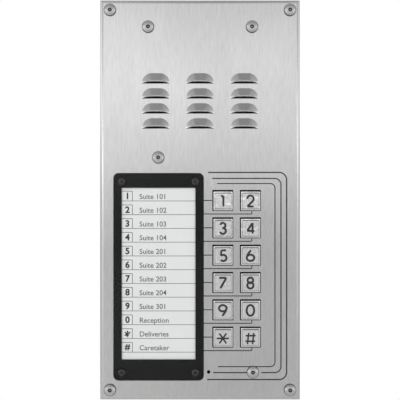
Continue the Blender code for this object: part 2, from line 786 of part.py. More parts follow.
def speaker(steel, ferrite, paper, foam):
    place = (0.0, SPEAKER_FRONT, SPEAKER_Z)
    mouth = SPEAKER_R - SPEAKER_FLANGE
    stud_hole = STUD_R + SCREW_CLEARANCE

    gasket_profile = [
        (SPEAKER_R, 0.0),
        (SPEAKER_R, -SPEAKER_GASKET_T),
        (mouth, -SPEAKER_GASKET_T),
        (mouth, 0.0),
    ]
    gasket = turned(
        "speaker_gasket",
        gasket_profile,
        (0.0, SPEAKER_GASKET_FRONT, SPEAKER_Z),
        SPEAKER_SIDES,
        ring=True,
    )
    beyond = (SPEAKER_GASKET_FRONT - GAP, SPEAKER_FRONT + SPEAKER_FLANGE_T + GAP)
    cut(gasket, rods("gasket_holes", SPEAKER_STUD_PLACES, stud_hole, beyond, SCREW_SIDES))
    as_part(gasket, foam)

    # A dish with a flat flange and walls that slope to the neck.
    outside = [
        (SPEAKER_R, 0.0),
        (SPEAKER_R, -SPEAKER_FLANGE_T),
        (mouth + SPEAKER_SHEET, -SPEAKER_FLANGE_T),
        (mouth + SPEAKER_SHEET, -SPEAKER_RIM_DEPTH),
        (SPEAKER_NECK_R + SPEAKER_SHEET, -SPEAKER_DEPTH),
        (0.0, -SPEAKER_DEPTH),
    ]
    inside = [
        (0.0, SPEAKER_SHEET - SPEAKER_DEPTH),
        (SPEAKER_NECK_R, SPEAKER_SHEET - SPEAKER_DEPTH),
        (mouth, -SPEAKER_RIM_DEPTH),
        (mouth, 0.0),
    ]
    basket = turned("speaker_basket", inside + outside, place, SPEAKER_SIDES)
    cut(basket, rods("basket_holes", SPEAKER_STUD_PLACES, stud_hole, beyond, SCREW_SIDES))
    as_part(basket, steel)

    magnet = [(0.0, 0.0), (MAGNET_R, 0.0), (MAGNET_R, -MAGNET_T), (0.0, -MAGNET_T)]
    magnet_place = (0.0, SPEAKER_REAR + GAP, SPEAKER_Z)
    as_part(turned("speaker_magnet", magnet, magnet_place, SPEAKER_SIDES), ferrite)

    # The cone's own front is a clearance behind the basket's mouth.
    rim = mouth - CONE_CLEARANCE - CONE_TRAVEL
    throat = CAP_R
    cone = [
        (0.0, CAP_R / 3 - CONE_DEPTH),
        (throat / 2, CAP_R / 4 - CONE_DEPTH),
        (throat, -CONE_DEPTH),
        (rim, 0.0),
        (rim, -CONE_T),
        (throat, -CONE_DEPTH - CONE_T),
        (0.0, -CONE_DEPTH - CONE_T),
    ]
    cone_place = (0.0, SPEAKER_FRONT + CONE_CLEARANCE + CONE_TRAVEL, SPEAKER_Z)
    as_part(turned("speaker_cone", cone, cone_place, SPEAKER_SIDES), paper)


# ---------------------------------------------------------------- main board


def main_board(finish):
    board = slab(
        "main_board",
        (-BOARD_X, BOARD_X),
        (BOARD_FRONT, BOARD_REAR),
        (-BOARD_Z, BOARD_Z),
        FRAME_SIDE,
    )
    beyond = (BOARD_FRONT - PLATE_T, BOARD_REAR + PLATE_T)
    cut(board, rods("board_holes", CHASSIS_PLACES, SPIGOT_R + GAP, beyond, SCREW_SIDES))
    as_part(board, finish)


def standoffs(finish):
    """A threaded tube from the plate to the board, its thin end in the board's hole."""
    bore = SCREW_R + SCREW_CLEARANCE
    length = BOARD_DEPTH - 2 * GAP
    profile = [
        (STANDOFF_R, 0.0),
        (STANDOFF_R, -length),
        (SPIGOT_R, -length),
        (SPIGOT_R, -length - BOARD_T),
        (bore, -length - BOARD_T),
        (bore, 0.0),
    ]
    for i, (x, z) in enumerate(CHASSIS_PLACES):
        place = (x, PLATE_REAR + GAP, z)
        as_part(turned(f"standoff_{i + 1}", profile, place, ring=True), finish)


def dip_switch(body_finish, lever_finish, x, z):
    """A switch with two levers that slide up along Z in slots in its rear."""
    front = BOARD_REAR + GAP
    rear = front + DIP[1]
    body = block("dip_switch", DIP, front, x, z)
    lever_z = z - (DIP_SLOT_H - DIP_LEVER[2]) / 2 + GAP
    for i in range(2):
        lever_x = x + (i - 0.5) * DIP_PITCH
        slot = block(
            f"dip_slot_{i + 1}",
            (DIP_SLOT_W, 2 * DIP_SLOT_DEPTH, DIP_SLOT_H),
            rear - DIP_SLOT_DEPTH,
            lever_x,
            z,
        )
        cut(body, slot)
        lever_front = rear - DIP_SLOT_DEPTH + GAP
        lever = block(f"dip_lever_{i + 1}", DIP_LEVER, lever_front, lever_x, lever_z)
        as_part(lever, lever_finish)
    as_part(body, body_finish)


def trimmer(name, body_finish, rotor_finish, x, z):
    """A square trimmer whose slotted rotor turns about an axis along Y."""
    front = BOARD_REAR + GAP
    rear = front + TRIMMER[1]
    body = block(f"{name}_trimmer", TRIMMER, front, x, z)
    well = (rear - TRIMMER_WELL, rear + TRIMMER_WELL)
    cut(body, rods(f"{name}_well", [(x, z)], TRIMMER_WELL_R, well))
    as_part(body, body_finish)

    radius = TRIMMER_WELL_R - GAP
    disc = [(0.0, 0.0), (radius, 0.0), (radius, -TRIMMER_WELL), (0.0, -TRIMMER_WELL)]
    rotor_front = rear - TRIMMER_WELL + GAP
    rotor = turned(f"{name}_rotor", disc, (x, rotor_front, z), HOLE_SIDES)
    slot_l, slot_w, slot_depth = ROTOR_SLOT
    rotor_rear = rotor_front + TRIMMER_WELL
    slot = block(
        f"{name}_slot",
        (slot_w, 2 * slot_depth, slot_l),
        rotor_rear - slot_depth,
        x,
        z,
    )
    cut(rotor, slot)
    as_part(rotor, rotor_finish)


def components(black, green, white, blue, steel):
    """What stands on the main board's rear: the tall pieces at the left, the settings at the right."""
    front = BOARD_REAR + GAP

    def at(side, place):
        return side * (BOARD_X - place[0]), place[1] - BOARD_Z

    as_part(block("terminal_block", TERMINALS, front, *at(-1, TERMINALS_PLACE)), green)
    as_part(block("line_relay", RELAY, front, *at(-1, RELAY_PLACE)), white)
    as_part(block("line_transformer", TRANSFORMER, front, *at(-1, TRANSFORMER_PLACE)), steel)
    dip_switch(blue, white, *at(1, DIP_PLACE))
    trimmer("volume", blue, white, *at(1, VOLUME_PLACE))
    trimmer("microphone", blue, white, *at(1, MICROPHONE_TRIMMER_PLACE))


# ---------------------------------------------------------------- wires


def ribbon_cable(finish):
    """A flat cable in a loose S from the keypad board's rear to the main board's front."""
    x = sum(KEYPAD_X) / 2
    top = sum(KEYPAD_Z) / 2 + RIBBON_START
    start = KEYPAD_BOARD_REAR + GAP
    span = BOARD_FRONT - GAP - start
    # How far across the space and down the drop each point lies.
    shares = ((0.0, 0.0), (0.3, 0.04), (0.5, 0.5), (0.7, 0.96), (1.0, 1.0))
    points = [(x, start + span * depth, top - RIBBON_DROP * fall) for depth, fall in shares]
    route = smooth_route(points, 5)
    bm = bmesh.new()
    verts = [bm.verts.new((p.x - RIBBON_W / 2, p.y, p.z)) for p in route]
    edges = [bm.edges.new(pair) for pair in zip(verts, verts[1:])]
    moved = bmesh.ops.extrude_edge_only(bm, edges=edges)["geom"]
    across = [g for g in moved if isinstance(g, bmesh.types.BMVert)]
    bmesh.ops.translate(bm, vec=(RIBBON_W, 0.0, 0.0), verts=across)
    ribbon = mesh_object("ribbon_cable", bm)
    solidify = ribbon.modifiers.new("Ribbon", "SOLIDIFY")
    solidify.thickness = RIBBON_T
    solidify.offset = 0.0
    as_part(ribbon, finish)


def wire_between(name, start, end, finish):
    """A wire that leaves one face straight to the rear and meets the other straight on."""
    first, last = Vector(start), Vector(end)
    lead = Vector((0.0, (last.y - first.y) / 5, 0.0))
    middle = (first + last) / 2
    as_part(wire(name, [first, first + lead, middle, last - lead, last], WIRE_R), finish)


def speaker_wire(finish):
    """From the rear of the speaker's flange to the front of the main board."""
    x = -(SPEAKER_R - SPEAKER_FLANGE / 2)
    z = SPEAKER_Z - SPEAKER_WIRE_START
    start = (x, SPEAKER_FRONT + SPEAKER_FLANGE_T + GAP, z)
    end = (x - SPEAKER_WIRE_SIDE, BOARD_FRONT - GAP, z - SPEAKER_WIRE_DROP)
    wire_between("speaker_wire", start, end, finish)


def microphone_wire(finish):
    """From the rear of the microphone's boot to the front of the main board."""
    x, z = MIC_PLACE
    boot_rear = PLATE_REAR + GAP + MIC_L + 2 * GAP + BOOT_FLOOR
    start = (x, boot_rear + GAP, z)
    end = (x - MICROPHONE_WIRE_SIDE, BOARD_FRONT - GAP, z + MICROPHONE_WIRE_RISE)
    wire_between("microphone_wire", start, end, finish)


# ---------------------------------------------------------------- back box


def cavity(name, x, y, z, chamfer):
    """A box between these half sizes whose four edges along Y are cut off at 45 degrees."""
    return slab(name, (-x, x), y, (-z, z), chamfer, steps=1)


def back_box(finish):
    box = slab("back_box", (-BOX_X, BOX_X), (BOX_RIM, 0.0), (-BOX_Z, BOX_Z), BOX_WALL / 2, 3)
    inside = (BOX_RIM - BOX_WALL, -BOX_WALL)
    cut(box, cavity("box_cavity", BOX_X - BOX_WALL, inside, BOX_Z - BOX_WALL, BOX_POST))
    thread = (BOX_RIM - BOX_WALL, BOX_RIM + CORNER_SCREW_L)
    cut(box, rods("box_threads", CORNER_PLACES, SCREW_R + SCREW_CLEARANCE, thread))
    wall_holes = corners(BOX_X - WALL_HOLE_INSET, BOX_Z - WALL_HOLE_INSET)
    beyond = (-2 * BOX_WALL, BOX_WALL)
    cut(box, rods("wall_holes", wall_holes, WALL_HOLE_R, beyond, SCREW_SIDES))
    cut(box, rods("cable_hole", [(0.0, CABLE_ABOVE)], CABLE_HOLE_R, beyond))
    as_part(box, finish)


def box_gasket(finish):
    """A ring that follows the box's rim and widens round the corner screws."""
    depth = (BOX_GASKET_FRONT, BOX_GASKET_FRONT + BOX_GASKET_T)
    gasket = slab("box_gasket", (-BOX_X, BOX_X), depth, (-BOX_Z, BOX_Z), BOX_WALL / 2, 3)
    beyond = (depth[0] - BOX_GASKET_T, depth[1] + BOX_GASKET_T)
    room = cavity("gasket_room", BOX_X - BOX_GASKET_W, beyond, BOX_Z - BOX_GASKET_W, BOX_POST)
    cut(gasket, room)
    hole = SCREW_R + SCREW_CLEARANCE
    cut(gasket, rods("gasket_screw_holes", CORNER_PLACES, hole, beyond, SCREW_SIDES))
    as_part(gasket, finish)


def cable_grommet(finish):
    """A rubber ring with a groove, which sits in the box's rear wall."""
    neck = CABLE_HOLE_R - GAP
    lip = CABLE_HOLE_R + GROMMET_LIP
    inner_face = BOX_WALL + GAP
    profile = [
        (lip, inner_face + GROMMET_LIP_T),
        (lip, inner_face),
        (neck, inner_face),
        (neck, GAP),
        (CABLE_BORE_R, GAP),
        (CABLE_BORE_R, inner_face + GROMMET_LIP_T),
    ]
    grommet = turned("cable_grommet", profile, (0.0, 0.0, CABLE_ABOVE), HOLE_SIDES, ring=True)
    as_part(grommet, finish)


# ---------------------------------------------------------------- the object


def main():
    clear_scene()
    collection(NAME)
    collection("tools")

    stainless = material("brushed_stainless", (0.60, 0.60, 0.59), 0.32, 1.0)
    bright = material("polished_steel", (0.72, 0.72, 0.71), 0.18, 1.0)
    zinc = material("zinc_plate", (0.52, 0.53, 0.54), 0.38, 1.0)
    cast = material("painted_casting", (0.30, 0.31, 0.32), 0.55)
    clear = material("clear_sheet", (0.92, 0.94, 0.95), 0.03, 0.0, 0.25)
    black = material("gloss_black", (0.012, 0.012, 0.014), 0.08)
    black_steel = material("black_screw", (0.02, 0.02, 0.022), 0.35, 0.6)
    card = material("white_card", (0.86, 0.86, 0.85), 0.7)
    foam = material("black_foam", (0.03, 0.03, 0.032), 0.95)
    rubber = material("grey_rubber", (0.22, 0.23, 0.24), 0.8)
    plastic = material("black_plastic", (0.03, 0.03, 0.033), 0.5)
    pale = material("pale_plastic", (0.80, 0.79, 0.75), 0.45)
    green = material("green_plastic", (0.04, 0.30, 0.12), 0.45)
    blue = material("blue_plastic", (0.03, 0.12, 0.45), 0.4)
    laminate = material("board_laminate", (0.02, 0.16, 0.08), 0.35)
    ferrite = material("ferrite", (0.06, 0.06, 0.065), 0.6)
    paper = material("black_paper", (0.05, 0.05, 0.052), 0.9)
    grey_wire = material("grey_ribbon", (0.45, 0.46, 0.48), 0.5)
    red_wire = material("red_wire", (0.45, 0.03, 0.03), 0.45)

    faceplate(stainless)
    button_screws("corner_screw", CORNER_PLACES, CORNER_SCREW_L, bright)
    button_screws("chassis_screw", CHASSIS_PLACES, CHASSIS_SCREW_L, bright)
    directory(clear, black, foam, card)
    lens_screws(black_steel)
    keys(bright)
    keypad_frame(plastic)
    keypad_mat(rubber)
    keypad_board(laminate)
    microphone(bright, rubber)
    louvre_screen(foam)
    speaker(zinc, ferrite, paper, foam)
    main_board(laminate)
    standoffs(zinc)
    components(plastic, green, pale, blue, zinc)
    ribbon_cable(grey_wire)
    speaker_wire(red_wire)
    microphone_wire(grey_wire)
    back_box(cast)
    box_gasket(foam)
    cable_grommet(rubber)


main()
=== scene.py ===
"""Looks of a louvred door intercom panel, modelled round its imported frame.

Metres, +Z up. The front faces -Y and the wall is at Y = 0, so a smaller Y is nearer to the visitor.
"""

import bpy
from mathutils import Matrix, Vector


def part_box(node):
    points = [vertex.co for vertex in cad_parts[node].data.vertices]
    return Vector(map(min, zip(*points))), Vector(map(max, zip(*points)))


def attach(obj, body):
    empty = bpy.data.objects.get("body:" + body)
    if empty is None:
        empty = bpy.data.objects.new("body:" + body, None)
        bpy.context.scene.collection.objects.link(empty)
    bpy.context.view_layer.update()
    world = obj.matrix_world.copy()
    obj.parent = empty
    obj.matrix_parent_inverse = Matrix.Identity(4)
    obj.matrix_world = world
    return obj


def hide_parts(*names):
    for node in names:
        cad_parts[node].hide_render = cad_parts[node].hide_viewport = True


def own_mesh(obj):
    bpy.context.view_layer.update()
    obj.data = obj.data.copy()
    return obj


bl_info = {
    "name": "Door intercom panel",
    "version": (1, 0, 0),
    "blender": (4, 5, 0),
    "location": "3D View > Sidebar > Intercom",
    "description": "Models the fine pieces of a louvred door intercom panel and their finishes",
    "category": "Object",
}

import math

import bmesh
import bpy
from bpy.props import FloatProperty, FloatVectorProperty, PointerProperty
from bpy.types import Operator, Panel, PropertyGroup
from mathutils import Vector

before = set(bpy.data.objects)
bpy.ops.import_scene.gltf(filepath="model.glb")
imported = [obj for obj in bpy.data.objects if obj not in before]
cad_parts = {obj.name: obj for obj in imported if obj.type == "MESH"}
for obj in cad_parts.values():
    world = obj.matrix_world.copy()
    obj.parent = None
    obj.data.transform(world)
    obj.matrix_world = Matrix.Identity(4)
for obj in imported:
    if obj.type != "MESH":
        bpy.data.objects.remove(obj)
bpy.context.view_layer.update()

GAP = 0.0003  # between pieces that touch
HOUSING = "housing"
KEY_NAMES = ("1", "2", "3", "4", "5", "6", "7", "8", "9", "0", "star", "hash")


# ---------------------------------------------------------------- places read from the frame


def middle(node):
    """The middle of a node's box."""
    low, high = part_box(node)
    return (low + high) / 2


def spot(node):
    """The (x, z) of a node's middle."""
    place = middle(node)
    return place.x, place.z


PLATE_LOW, PLATE_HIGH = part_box("faceplate")
PLATE_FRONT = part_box("lens_gasket")[1].y + GAP
PLATE_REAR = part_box("keypad_frame")[0].y - GAP
LENS_LOW, LENS_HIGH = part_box("directory_lens")
CARD_LOW, CARD_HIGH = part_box("directory_card")
BOX_LOW, BOX_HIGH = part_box("back_box")
SPEAKER = middle("speaker_magnet")
KEY_PLACES = [middle(f"key_{name}") for name in KEY_NAMES]
SCREW_NODES = [f"{kind}_screw_{i}" for kind in ("corner", "chassis") for i in range(1, 5)]
LENS_SCREW_NODES = [f"lens_screw_{i}" for i in range(1, 5)]


# ---------------------------------------------------------------- sizes and colours


def length(name, description, default):
    return FloatProperty(
        name=name, description=description, default=default, min=0.0, unit="LENGTH", precision=5
    )


def colour(name, description, default):
    return FloatVectorProperty(
        name=name, description=description, default=default, subtype="COLOR", min=0.0, max=1.0
    )


class PanelSizes(PropertyGroup):
    """Sizes of the fine pieces. Where a piece stands comes from the frame."""

    sheet: length("Sheet", "Thickness of the folded plate", 0.0019)
    bend: length("Bend radius", "Outer radius of the plate's folded edges", 0.0023)
    flange: length("Flange", "Depth of the folded edges", 0.009)
    edge_break: length("Edge break", "Chamfer round the plate's holes", 0.00014)
    louvre_pitch_x: length("Louvre pitch across", "Between louvre columns", 0.0281)
    louvre_pitch_z: length("Louvre pitch up", "Between louvre rows", 0.00953)
    louvre_width: length("Louvre width", "A louvre's width", 0.0178)
    louvre_height: length("Louvre height", "A louvre's height from its foot", 0.0066)
    louvre_rise: length("Louvre rise", "How far a louvre stands proud", 0.0022)
    louvre_end: length("Louvre end", "Length of a louvre's rounded end", 0.0063)
    louvre_slot: length("Louvre slot", "Height of the open slot under a louvre", 0.00115)
    louvre_skin: length("Louvre skin", "Thickness of a louvre's sheet", 0.0011)
    louvre_lip: length("Louvre lip", "Radius of the rolled lower lip", 0.0012)
    key_window: length("Key window", "Side of a key's window in the plate", 0.0133)
    key_rim: length("Key rim", "Width of the flat rim round a key's plateau", 0.00078)
    key_slope: length("Key slope", "Width of the slope up to a key's plateau", 0.00044)
    glyph_height: length("Legend height", "Height of a key's legend", 0.0081)
    glyph_stroke: length("Legend stroke", "Stroke of a key's legend", 0.00134)
    ink: length("Ink", "Thickness of printed ink", 0.00004)
    line: length("Line", "Width of the lines from the directory to the keys", 0.00062)
    bracket: length("Bracket", "Width of the outermost bracket round the keypad", 0.00082)
    ruling: length("Ruling", "Width of the lines on the card", 0.00034)
    row_pitch: length("Row pitch", "Between the lines of the directory", 0.00872)
    label_height: length("Label height", "Size of the card's lettering", 0.0046)
    dome_rise: length("Dome rise", "Height of a dome of the keypad's mat", 0.0013)
    dome_foot: length("Dome foot", "Radius of a dome at its foot", 0.0044)
    dome_crown: length("Dome crown", "Radius of a dome at its top", 0.003)
    dome_skin: length("Dome skin", "Thickness of a dome", 0.0006)
    box_wall: length("Box wall", "Thickness of the back box's wall", 0.002)
    box_post: length("Box post", "Side of the posts in the back box's corners", 0.011)
    knockout: length("Knockout", "Radius of the knockouts in the back box's sides", 0.0105)


class PanelColours(PropertyGroup):
    """Colours of the finishes."""

    stainless: colour("Stainless", "Brushed plate", (0.60, 0.60, 0.60))
    bright: colour("Bright steel", "Button-head screws", (0.52, 0.52, 0.52))
    key: colour("Key steel", "Polished keys", (0.80, 0.80, 0.80))
    ink: colour("Ink", "Printed lines and legends", (0.018, 0.018, 0.019))
    grey_ink: colour("Grey ink", "Labels on the card", (0.10, 0.10, 0.105))
    border: colour("Border", "Glossy border round the card", (0.006, 0.006, 0.007))
    card: colour("Card", "Directory card", (0.80, 0.80, 0.80))
    casting: colour("Casting", "Painted back box", (0.27, 0.28, 0.29))
    rubber: colour("Rubber", "Keypad mat, boot and grommet", (0.19, 0.20, 0.21))
    laminate: colour("Laminate", "Circuit boards", (0.02, 0.15, 0.07))


class StageSettings(PropertyGroup):
    """Camera, floor and light."""

    distance: length("Camera distance", "From the plate's front to the camera", 0.75)
    floor_drop: length("Floor drop", "From the panel's foot down to the floor", 0.12)
    floor_size: length("Floor size", "Side of the square floor", 1.3)
    sky: FloatProperty(name="Surround", description="Strength of the surround", default=1.0)


# ---------------------------------------------------------------- modelling helpers


def put_down():
    """Leaves edit mode and drops the selection."""
    active = bpy.context.view_layer.objects.active
    if active and active.mode != "OBJECT":
        bpy.ops.object.mode_set(mode="OBJECT")
    bpy.ops.object.select_all(action="DESELECT")


def take(piece):
    """Makes a piece the only selected one and the active one."""
    put_down()
    piece.select_set(True)
    bpy.context.view_layer.objects.active = piece


def settle(piece, name):
    """Names a piece and moves its place into its mesh."""
    piece.name = name
    piece.data.name = name
    take(piece)
    bpy.ops.object.transform_apply(location=True, rotation=True, scale=True)
    return piece


def block(name, low, high):
    """A box between two corners."""
    put_down()
    low, high = Vector(low), Vector(high)
    bpy.ops.mesh.primitive_cube_add(size=1.0, location=(low + high) / 2, scale=high - low)
    return settle(bpy.context.object, name)


def rod(name, place, radius, rear, front, sides=32, tip=None):
    """A round bar along Y between two depths. The tip is the radius at its front."""
    put_down()
    bpy.ops.mesh.primitive_cone_add(
        vertices=sides,
        radius1=radius,
        radius2=radius if tip is None else tip,
        depth=rear - front,
        location=(place[0], (rear + front) / 2, place[1]),
        rotation=(math.pi / 2, 0.0, 0.0),
    )
    return settle(bpy.context.object, name)


def work_on(piece):
    take(piece)
    bpy.ops.object.mode_set(mode="EDIT")
    bpy.ops.mesh.select_all(action="DESELECT")


def pick(piece, kind, test):
    """In edit mode, selects the faces, edges or vertices that pass a test."""
    bpy.ops.mesh.select_mode(type=kind)
    bpy.ops.mesh.select_all(action="DESELECT")
    bm = bmesh.from_edit_mesh(piece.data)
    items = {"FACE": bm.faces, "EDGE": bm.edges, "VERT": bm.verts}[kind]
    chosen = [item for item in items if test(item)]
    for item in chosen:
        item.select_set(True)
    bm.select_flush_mode()
    bmesh.update_edit_mesh(piece.data)
    return len(chosen)


def centre(item):
    """The middle of a face or an edge."""
    return sum((v.co for v in item.verts), Vector()) / len(item.verts)


def spans(edge, axis):
    """True if an edge runs along an axis, 0 to 2."""
    along = edge.verts[1].co - edge.verts[0].co
    return abs(along[axis]) > 0.999 * along.length


def join(pieces, name):
    put_down()
    for piece in pieces:
        piece.select_set(True)
    bpy.context.view_layer.objects.active = pieces[0]
    if len(pieces) > 1:
        bpy.ops.object.join()
    pieces[0].name = name
    pieces[0].data.name = name
    return pieces[0]


def apply(piece, kind, **settings):
    """Adds a modifier and applies it."""
    take(piece)
    modifier = piece.modifiers.new(kind.title(), kind)
    for setting, value in settings.items():
        setattr(modifier, setting, value)
    bpy.ops.object.modifier_apply(modifier=modifier.name)


def combine(piece, tool, operation):
    """Cuts a tool from a piece, or adds it, and removes the tool."""
    apply(piece, "BOOLEAN", object=tool, operation=operation, solver="EXACT")
    bpy.data.objects.remove(tool)


def cut(piece, tool):
    combine(piece, tool, "DIFFERENCE")


def add(piece, tool):
    combine(piece, tool, "UNION")


def copy_of(pattern, name, shift, turn):
    """A copy with its own mesh, turned about an axis along Y and moved by a shift."""
    take(pattern)
    bpy.ops.object.duplicate()
    made = bpy.context.object
    made.rotation_euler.y = turn
    made.location = shift
    return settle(made, name)


def copies_of(pattern, rows):
    """A copy for each row's (name, (x, z), turn). The pattern is removed."""
    copies = [copy_of(pattern, name, (x, 0.0, z), turn) for name, (x, z), turn in rows]
    bpy.data.objects.remove(pattern)
    return copies


def soften(piece, angle=30.0, weighted=True):
    """Smooth shading up to an angle, with large faces kept flat."""
    take(piece)
    bpy.ops.object.shade_smooth_by_angle(angle=math.radians(angle))
    if weighted:
        apply(piece, "WEIGHTED_NORMAL", keep_sharp=True, weight=50)


def bevel(piece, test, offset, segments=3, profile=0.5, affect="EDGES"):
    """Rounds the edges, or the corners, that pass a test."""
    work_on(piece)
    count = pick(piece, "EDGE" if affect == "EDGES" else "VERT", test)
    if not count:
        raise RuntimeError(f"{piece.name}: no edge to round")
    bpy.ops.mesh.bevel(
        offset=offset, segments=segments, profile=profile, affect=affect, clamp_overlap=True
    )
    put_down()


def round_sides(piece, radius, segments):
    """Rounds the edges that run from front to rear, or chamfers them with one segment."""
    bevel(piece, lambda edge: spans(edge, 1), radius, segments)


def close_up(piece):
    """Merges doubles and turns the faces out."""
    work_on(piece)
    bpy.ops.mesh.select_all(action="SELECT")
    bpy.ops.mesh.remove_doubles(threshold=1e-6)
    bpy.ops.mesh.normals_make_consistent(inside=False)
    put_down()


def pull(step):
    """In edit mode, extrudes the selection."""
    bpy.ops.mesh.extrude_region_move(TRANSFORM_OT_translate={"value": step})


def draw_out(place, sections):
    """In edit mode, pulls the selected face along Y by each (width scale, height scale, step).

    A scale is against the section before, about an axis along Y through the place.
    """
    for across, up, step in sections:
        pull((0.0, step, 0.0))
        if (across, up) != (1.0, 1.0):
            bpy.ops.transform.resize(
                value=(across, 1.0, up), center_override=(place[0], 0.0, place[1])
            )


def turned(name, place, profile, sides=48):
    """A turned piece about an axis along Y: (radius, depth) from its rear cap to its front cap."""
    put_down()
    radius, depth = profile[0]
    bpy.ops.mesh.primitive_circle_add(
        vertices=sides,
        radius=radius,
        fill_type="NGON",
        location=(place[0], depth, place[1]),
        rotation=(math.pi / 2, 0.0, 0.0),
    )
    piece = settle(bpy.context.object, name)
    work_on(piece)
    bpy.ops.mesh.select_all(action="SELECT")
    draw_out(
        place,
        [
            (after[0] / before[0], after[0] / before[0], after[1] - before[1])
            for before, after in zip(profile, profile[1:])
        ],
    )
    close_up(piece)
    return piece


def arc(middle_point, radii, start, end, steps):
    """Points on an arc with (across, along) radii, angles in degrees."""
    angles = [math.radians(start + (end - start) * i / steps) for i in range(steps + 1)]
    return [
        (middle_point[0] + radii[0] * math.cos(a), middle_point[1] + radii[1] * math.sin(a))
        for a in angles
    ]


def stripe(name, start, heading, width, depth, moves, ends="square"):
    """A flat stripe on the plane at a depth, drawn as a pen would: one mesh, not yet thick.

    The heading is in degrees, 0 to the right and 90 up. A move is ("go", length) or
    ("turn", radius, degrees), where a positive turn is to the left.
    """
    put_down()
    angle = math.radians(heading)
    along = Vector((math.cos(angle), 0.0, math.sin(angle)))
    seed = 0.02 * width
    spot = Vector((start[0], depth, start[1]))
    bpy.ops.mesh.primitive_plane_add(
        size=1.0, location=spot + along * seed / 2, rotation=(math.pi / 2, -angle, 0.0)
    )
    piece = bpy.context.object
    piece.scale = (seed, width, 1.0)
    settle(piece, name)
    work_on(piece)
    pick(piece, "EDGE", lambda edge: (centre(edge) - spot).dot(along) > seed * 0.9)
    spot = spot + along * seed
    for move in moves:
        if move[0] == "go":
            pull(along * move[1])
            spot = spot + along * move[1]
        else:
            radius, turn = move[1], math.radians(move[2])
            side = Vector((-along.z, 0.0, along.x)) * math.copysign(radius, turn)
            pivot = spot + side
            bpy.ops.mesh.spin(
                steps=max(3, round(abs(move[2]) / 11)),
                angle=turn,
                center=pivot,
                axis=(0.0, 1.0, 0.0),
            )
            angle += turn
            along = Vector((math.cos(angle), 0.0, math.sin(angle)))
            spot = pivot - Vector((-along.z, 0.0, along.x)) * math.copysign(radius, turn)
    if ends == "round":
        begin = Vector((start[0], depth, start[1]))
        reach = width * 0.51
        pick(
            piece,
            "VERT",
            lambda vert: min((vert.co - begin).length, (vert.co - spot).length) < reach,
        )
        bpy.ops.mesh.bevel(offset=width * 0.495, segments=5, affect="VERTICES")
    put_down()
    return piece


def thicken(piece, thickness):
    """Gives a flat stripe its thickness, towards the front."""
    work_on(piece)
    bpy.ops.mesh.select_all(action="SELECT")
    bpy.ops.mesh.remove_doubles(threshold=1e-6)
    bm = bmesh.from_edit_mesh(piece.data)
    if sum(face.normal.y * face.calc_area() for face in bm.faces) > 0:
        bpy.ops.mesh.flip_normals()
    put_down()
    apply(piece, "SOLIDIFY", thickness=thickness, offset=1.0)


def dress(piece, body, finish, replaces=()):
    """Gives a piece its finish and its body, and hides the frame's nodes that it stands in for."""
    piece.data.materials.clear()
    piece.data.materials.append(finish)
    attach(piece, body)
    if replaces:
        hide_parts(*replaces)
    return piece


# ---------------------------------------------------------------- finishes


def new_finish(name, tint, roughness, metallic=0.0):
    """A new finish, or the one of that name if it's made already, without its tree."""
    name = f"finish_{name}"
    material = bpy.data.materials.get(name)
    if material:
        return material, None, None
    material = bpy.data.materials.new(name)
    material.use_nodes = True
    tree = material.node_tree
    shader = tree.nodes["Principled BSDF"]
    shader.inputs["Base Color"].default_value = (*tint, 1.0)
    shader.inputs["Roughness"].default_value = roughness
    shader.inputs["Metallic"].default_value = metallic
    return material, tree, shader


def grain(tree, scale, detail=3.0, rough=0.55, distortion=0.0):
    """Noise on the piece's own place, in grains per metre: one number, or one for each axis."""
    coordinates = tree.nodes.new("ShaderNodeTexCoord")
    mapping = tree.nodes.new("ShaderNodeMapping")
    noise = tree.nodes.new("ShaderNodeTexNoise")
    mapping.inputs["Scale"].default_value = scale if isinstance(scale, tuple) else (scale,) * 3
    noise.inputs["Scale"].default_value = 1.0
    noise.inputs["Detail"].default_value = detail
    noise.inputs["Roughness"].default_value = rough
    noise.inputs["Distortion"].default_value = distortion
    tree.links.new(coordinates.outputs["Object"], mapping.inputs["Vector"])
    tree.links.new(mapping.outputs["Vector"], noise.inputs["Vector"])
    return noise.outputs["Fac"]


def by_depth(tree, front, rear):
    """0 in front of one depth and 1 behind the other."""
    coordinates = tree.nodes.new("ShaderNodeTexCoord")
    split = tree.nodes.new("ShaderNodeSeparateXYZ")
    tree.links.new(coordinates.outputs["Object"], split.inputs[0])
    return ranged(tree, split.outputs["Y"], 0.0, 1.0, front, rear)


def ranged(tree, value, low, high, from_low=0.3, from_high=0.7):
    node = tree.nodes.new("ShaderNodeMapRange")
    node.inputs["From Min"].default_value = from_low
    node.inputs["From Max"].default_value = from_high
    node.inputs["To Min"].default_value = low
    node.inputs["To Max"].default_value = high
    tree.links.new(value, node.inputs["Value"])
    return node.outputs["Result"]


def blended(tree, factor, first, second):
    """A colour between two, by a factor."""
    node = tree.nodes.new("ShaderNodeMix")
    node.data_type = "RGBA"
    sockets = {s.identifier: s for s in node.inputs}
    for key, value in (("A_Color", first), ("B_Color", second)):
        if isinstance(value, bpy.types.NodeSocket):
            tree.links.new(value, sockets[key])
        else:
            sockets[key].default_value = (*value, 1.0)
    tree.links.new(factor, sockets["Factor_Float"])
    return next(s for s in node.outputs if s.identifier == "Result_Color")


def mottled(tree, pattern, tint, spread):
    """A colour that a pattern makes a little darker and lighter."""
    dark, light = [tuple(min(1.0, c * (1.0 + sign * spread)) for c in tint) for sign in (-1, 1)]
    return blended(tree, ranged(tree, pattern, 0.0, 1.0), dark, light)


def product(tree, kind, first, second):
    node = tree.nodes.new(kind)
    node.operation = "MULTIPLY"
    tree.links.new(first, node.inputs[0])
    tree.links.new(second, node.inputs[1])
    return node.outputs[0]


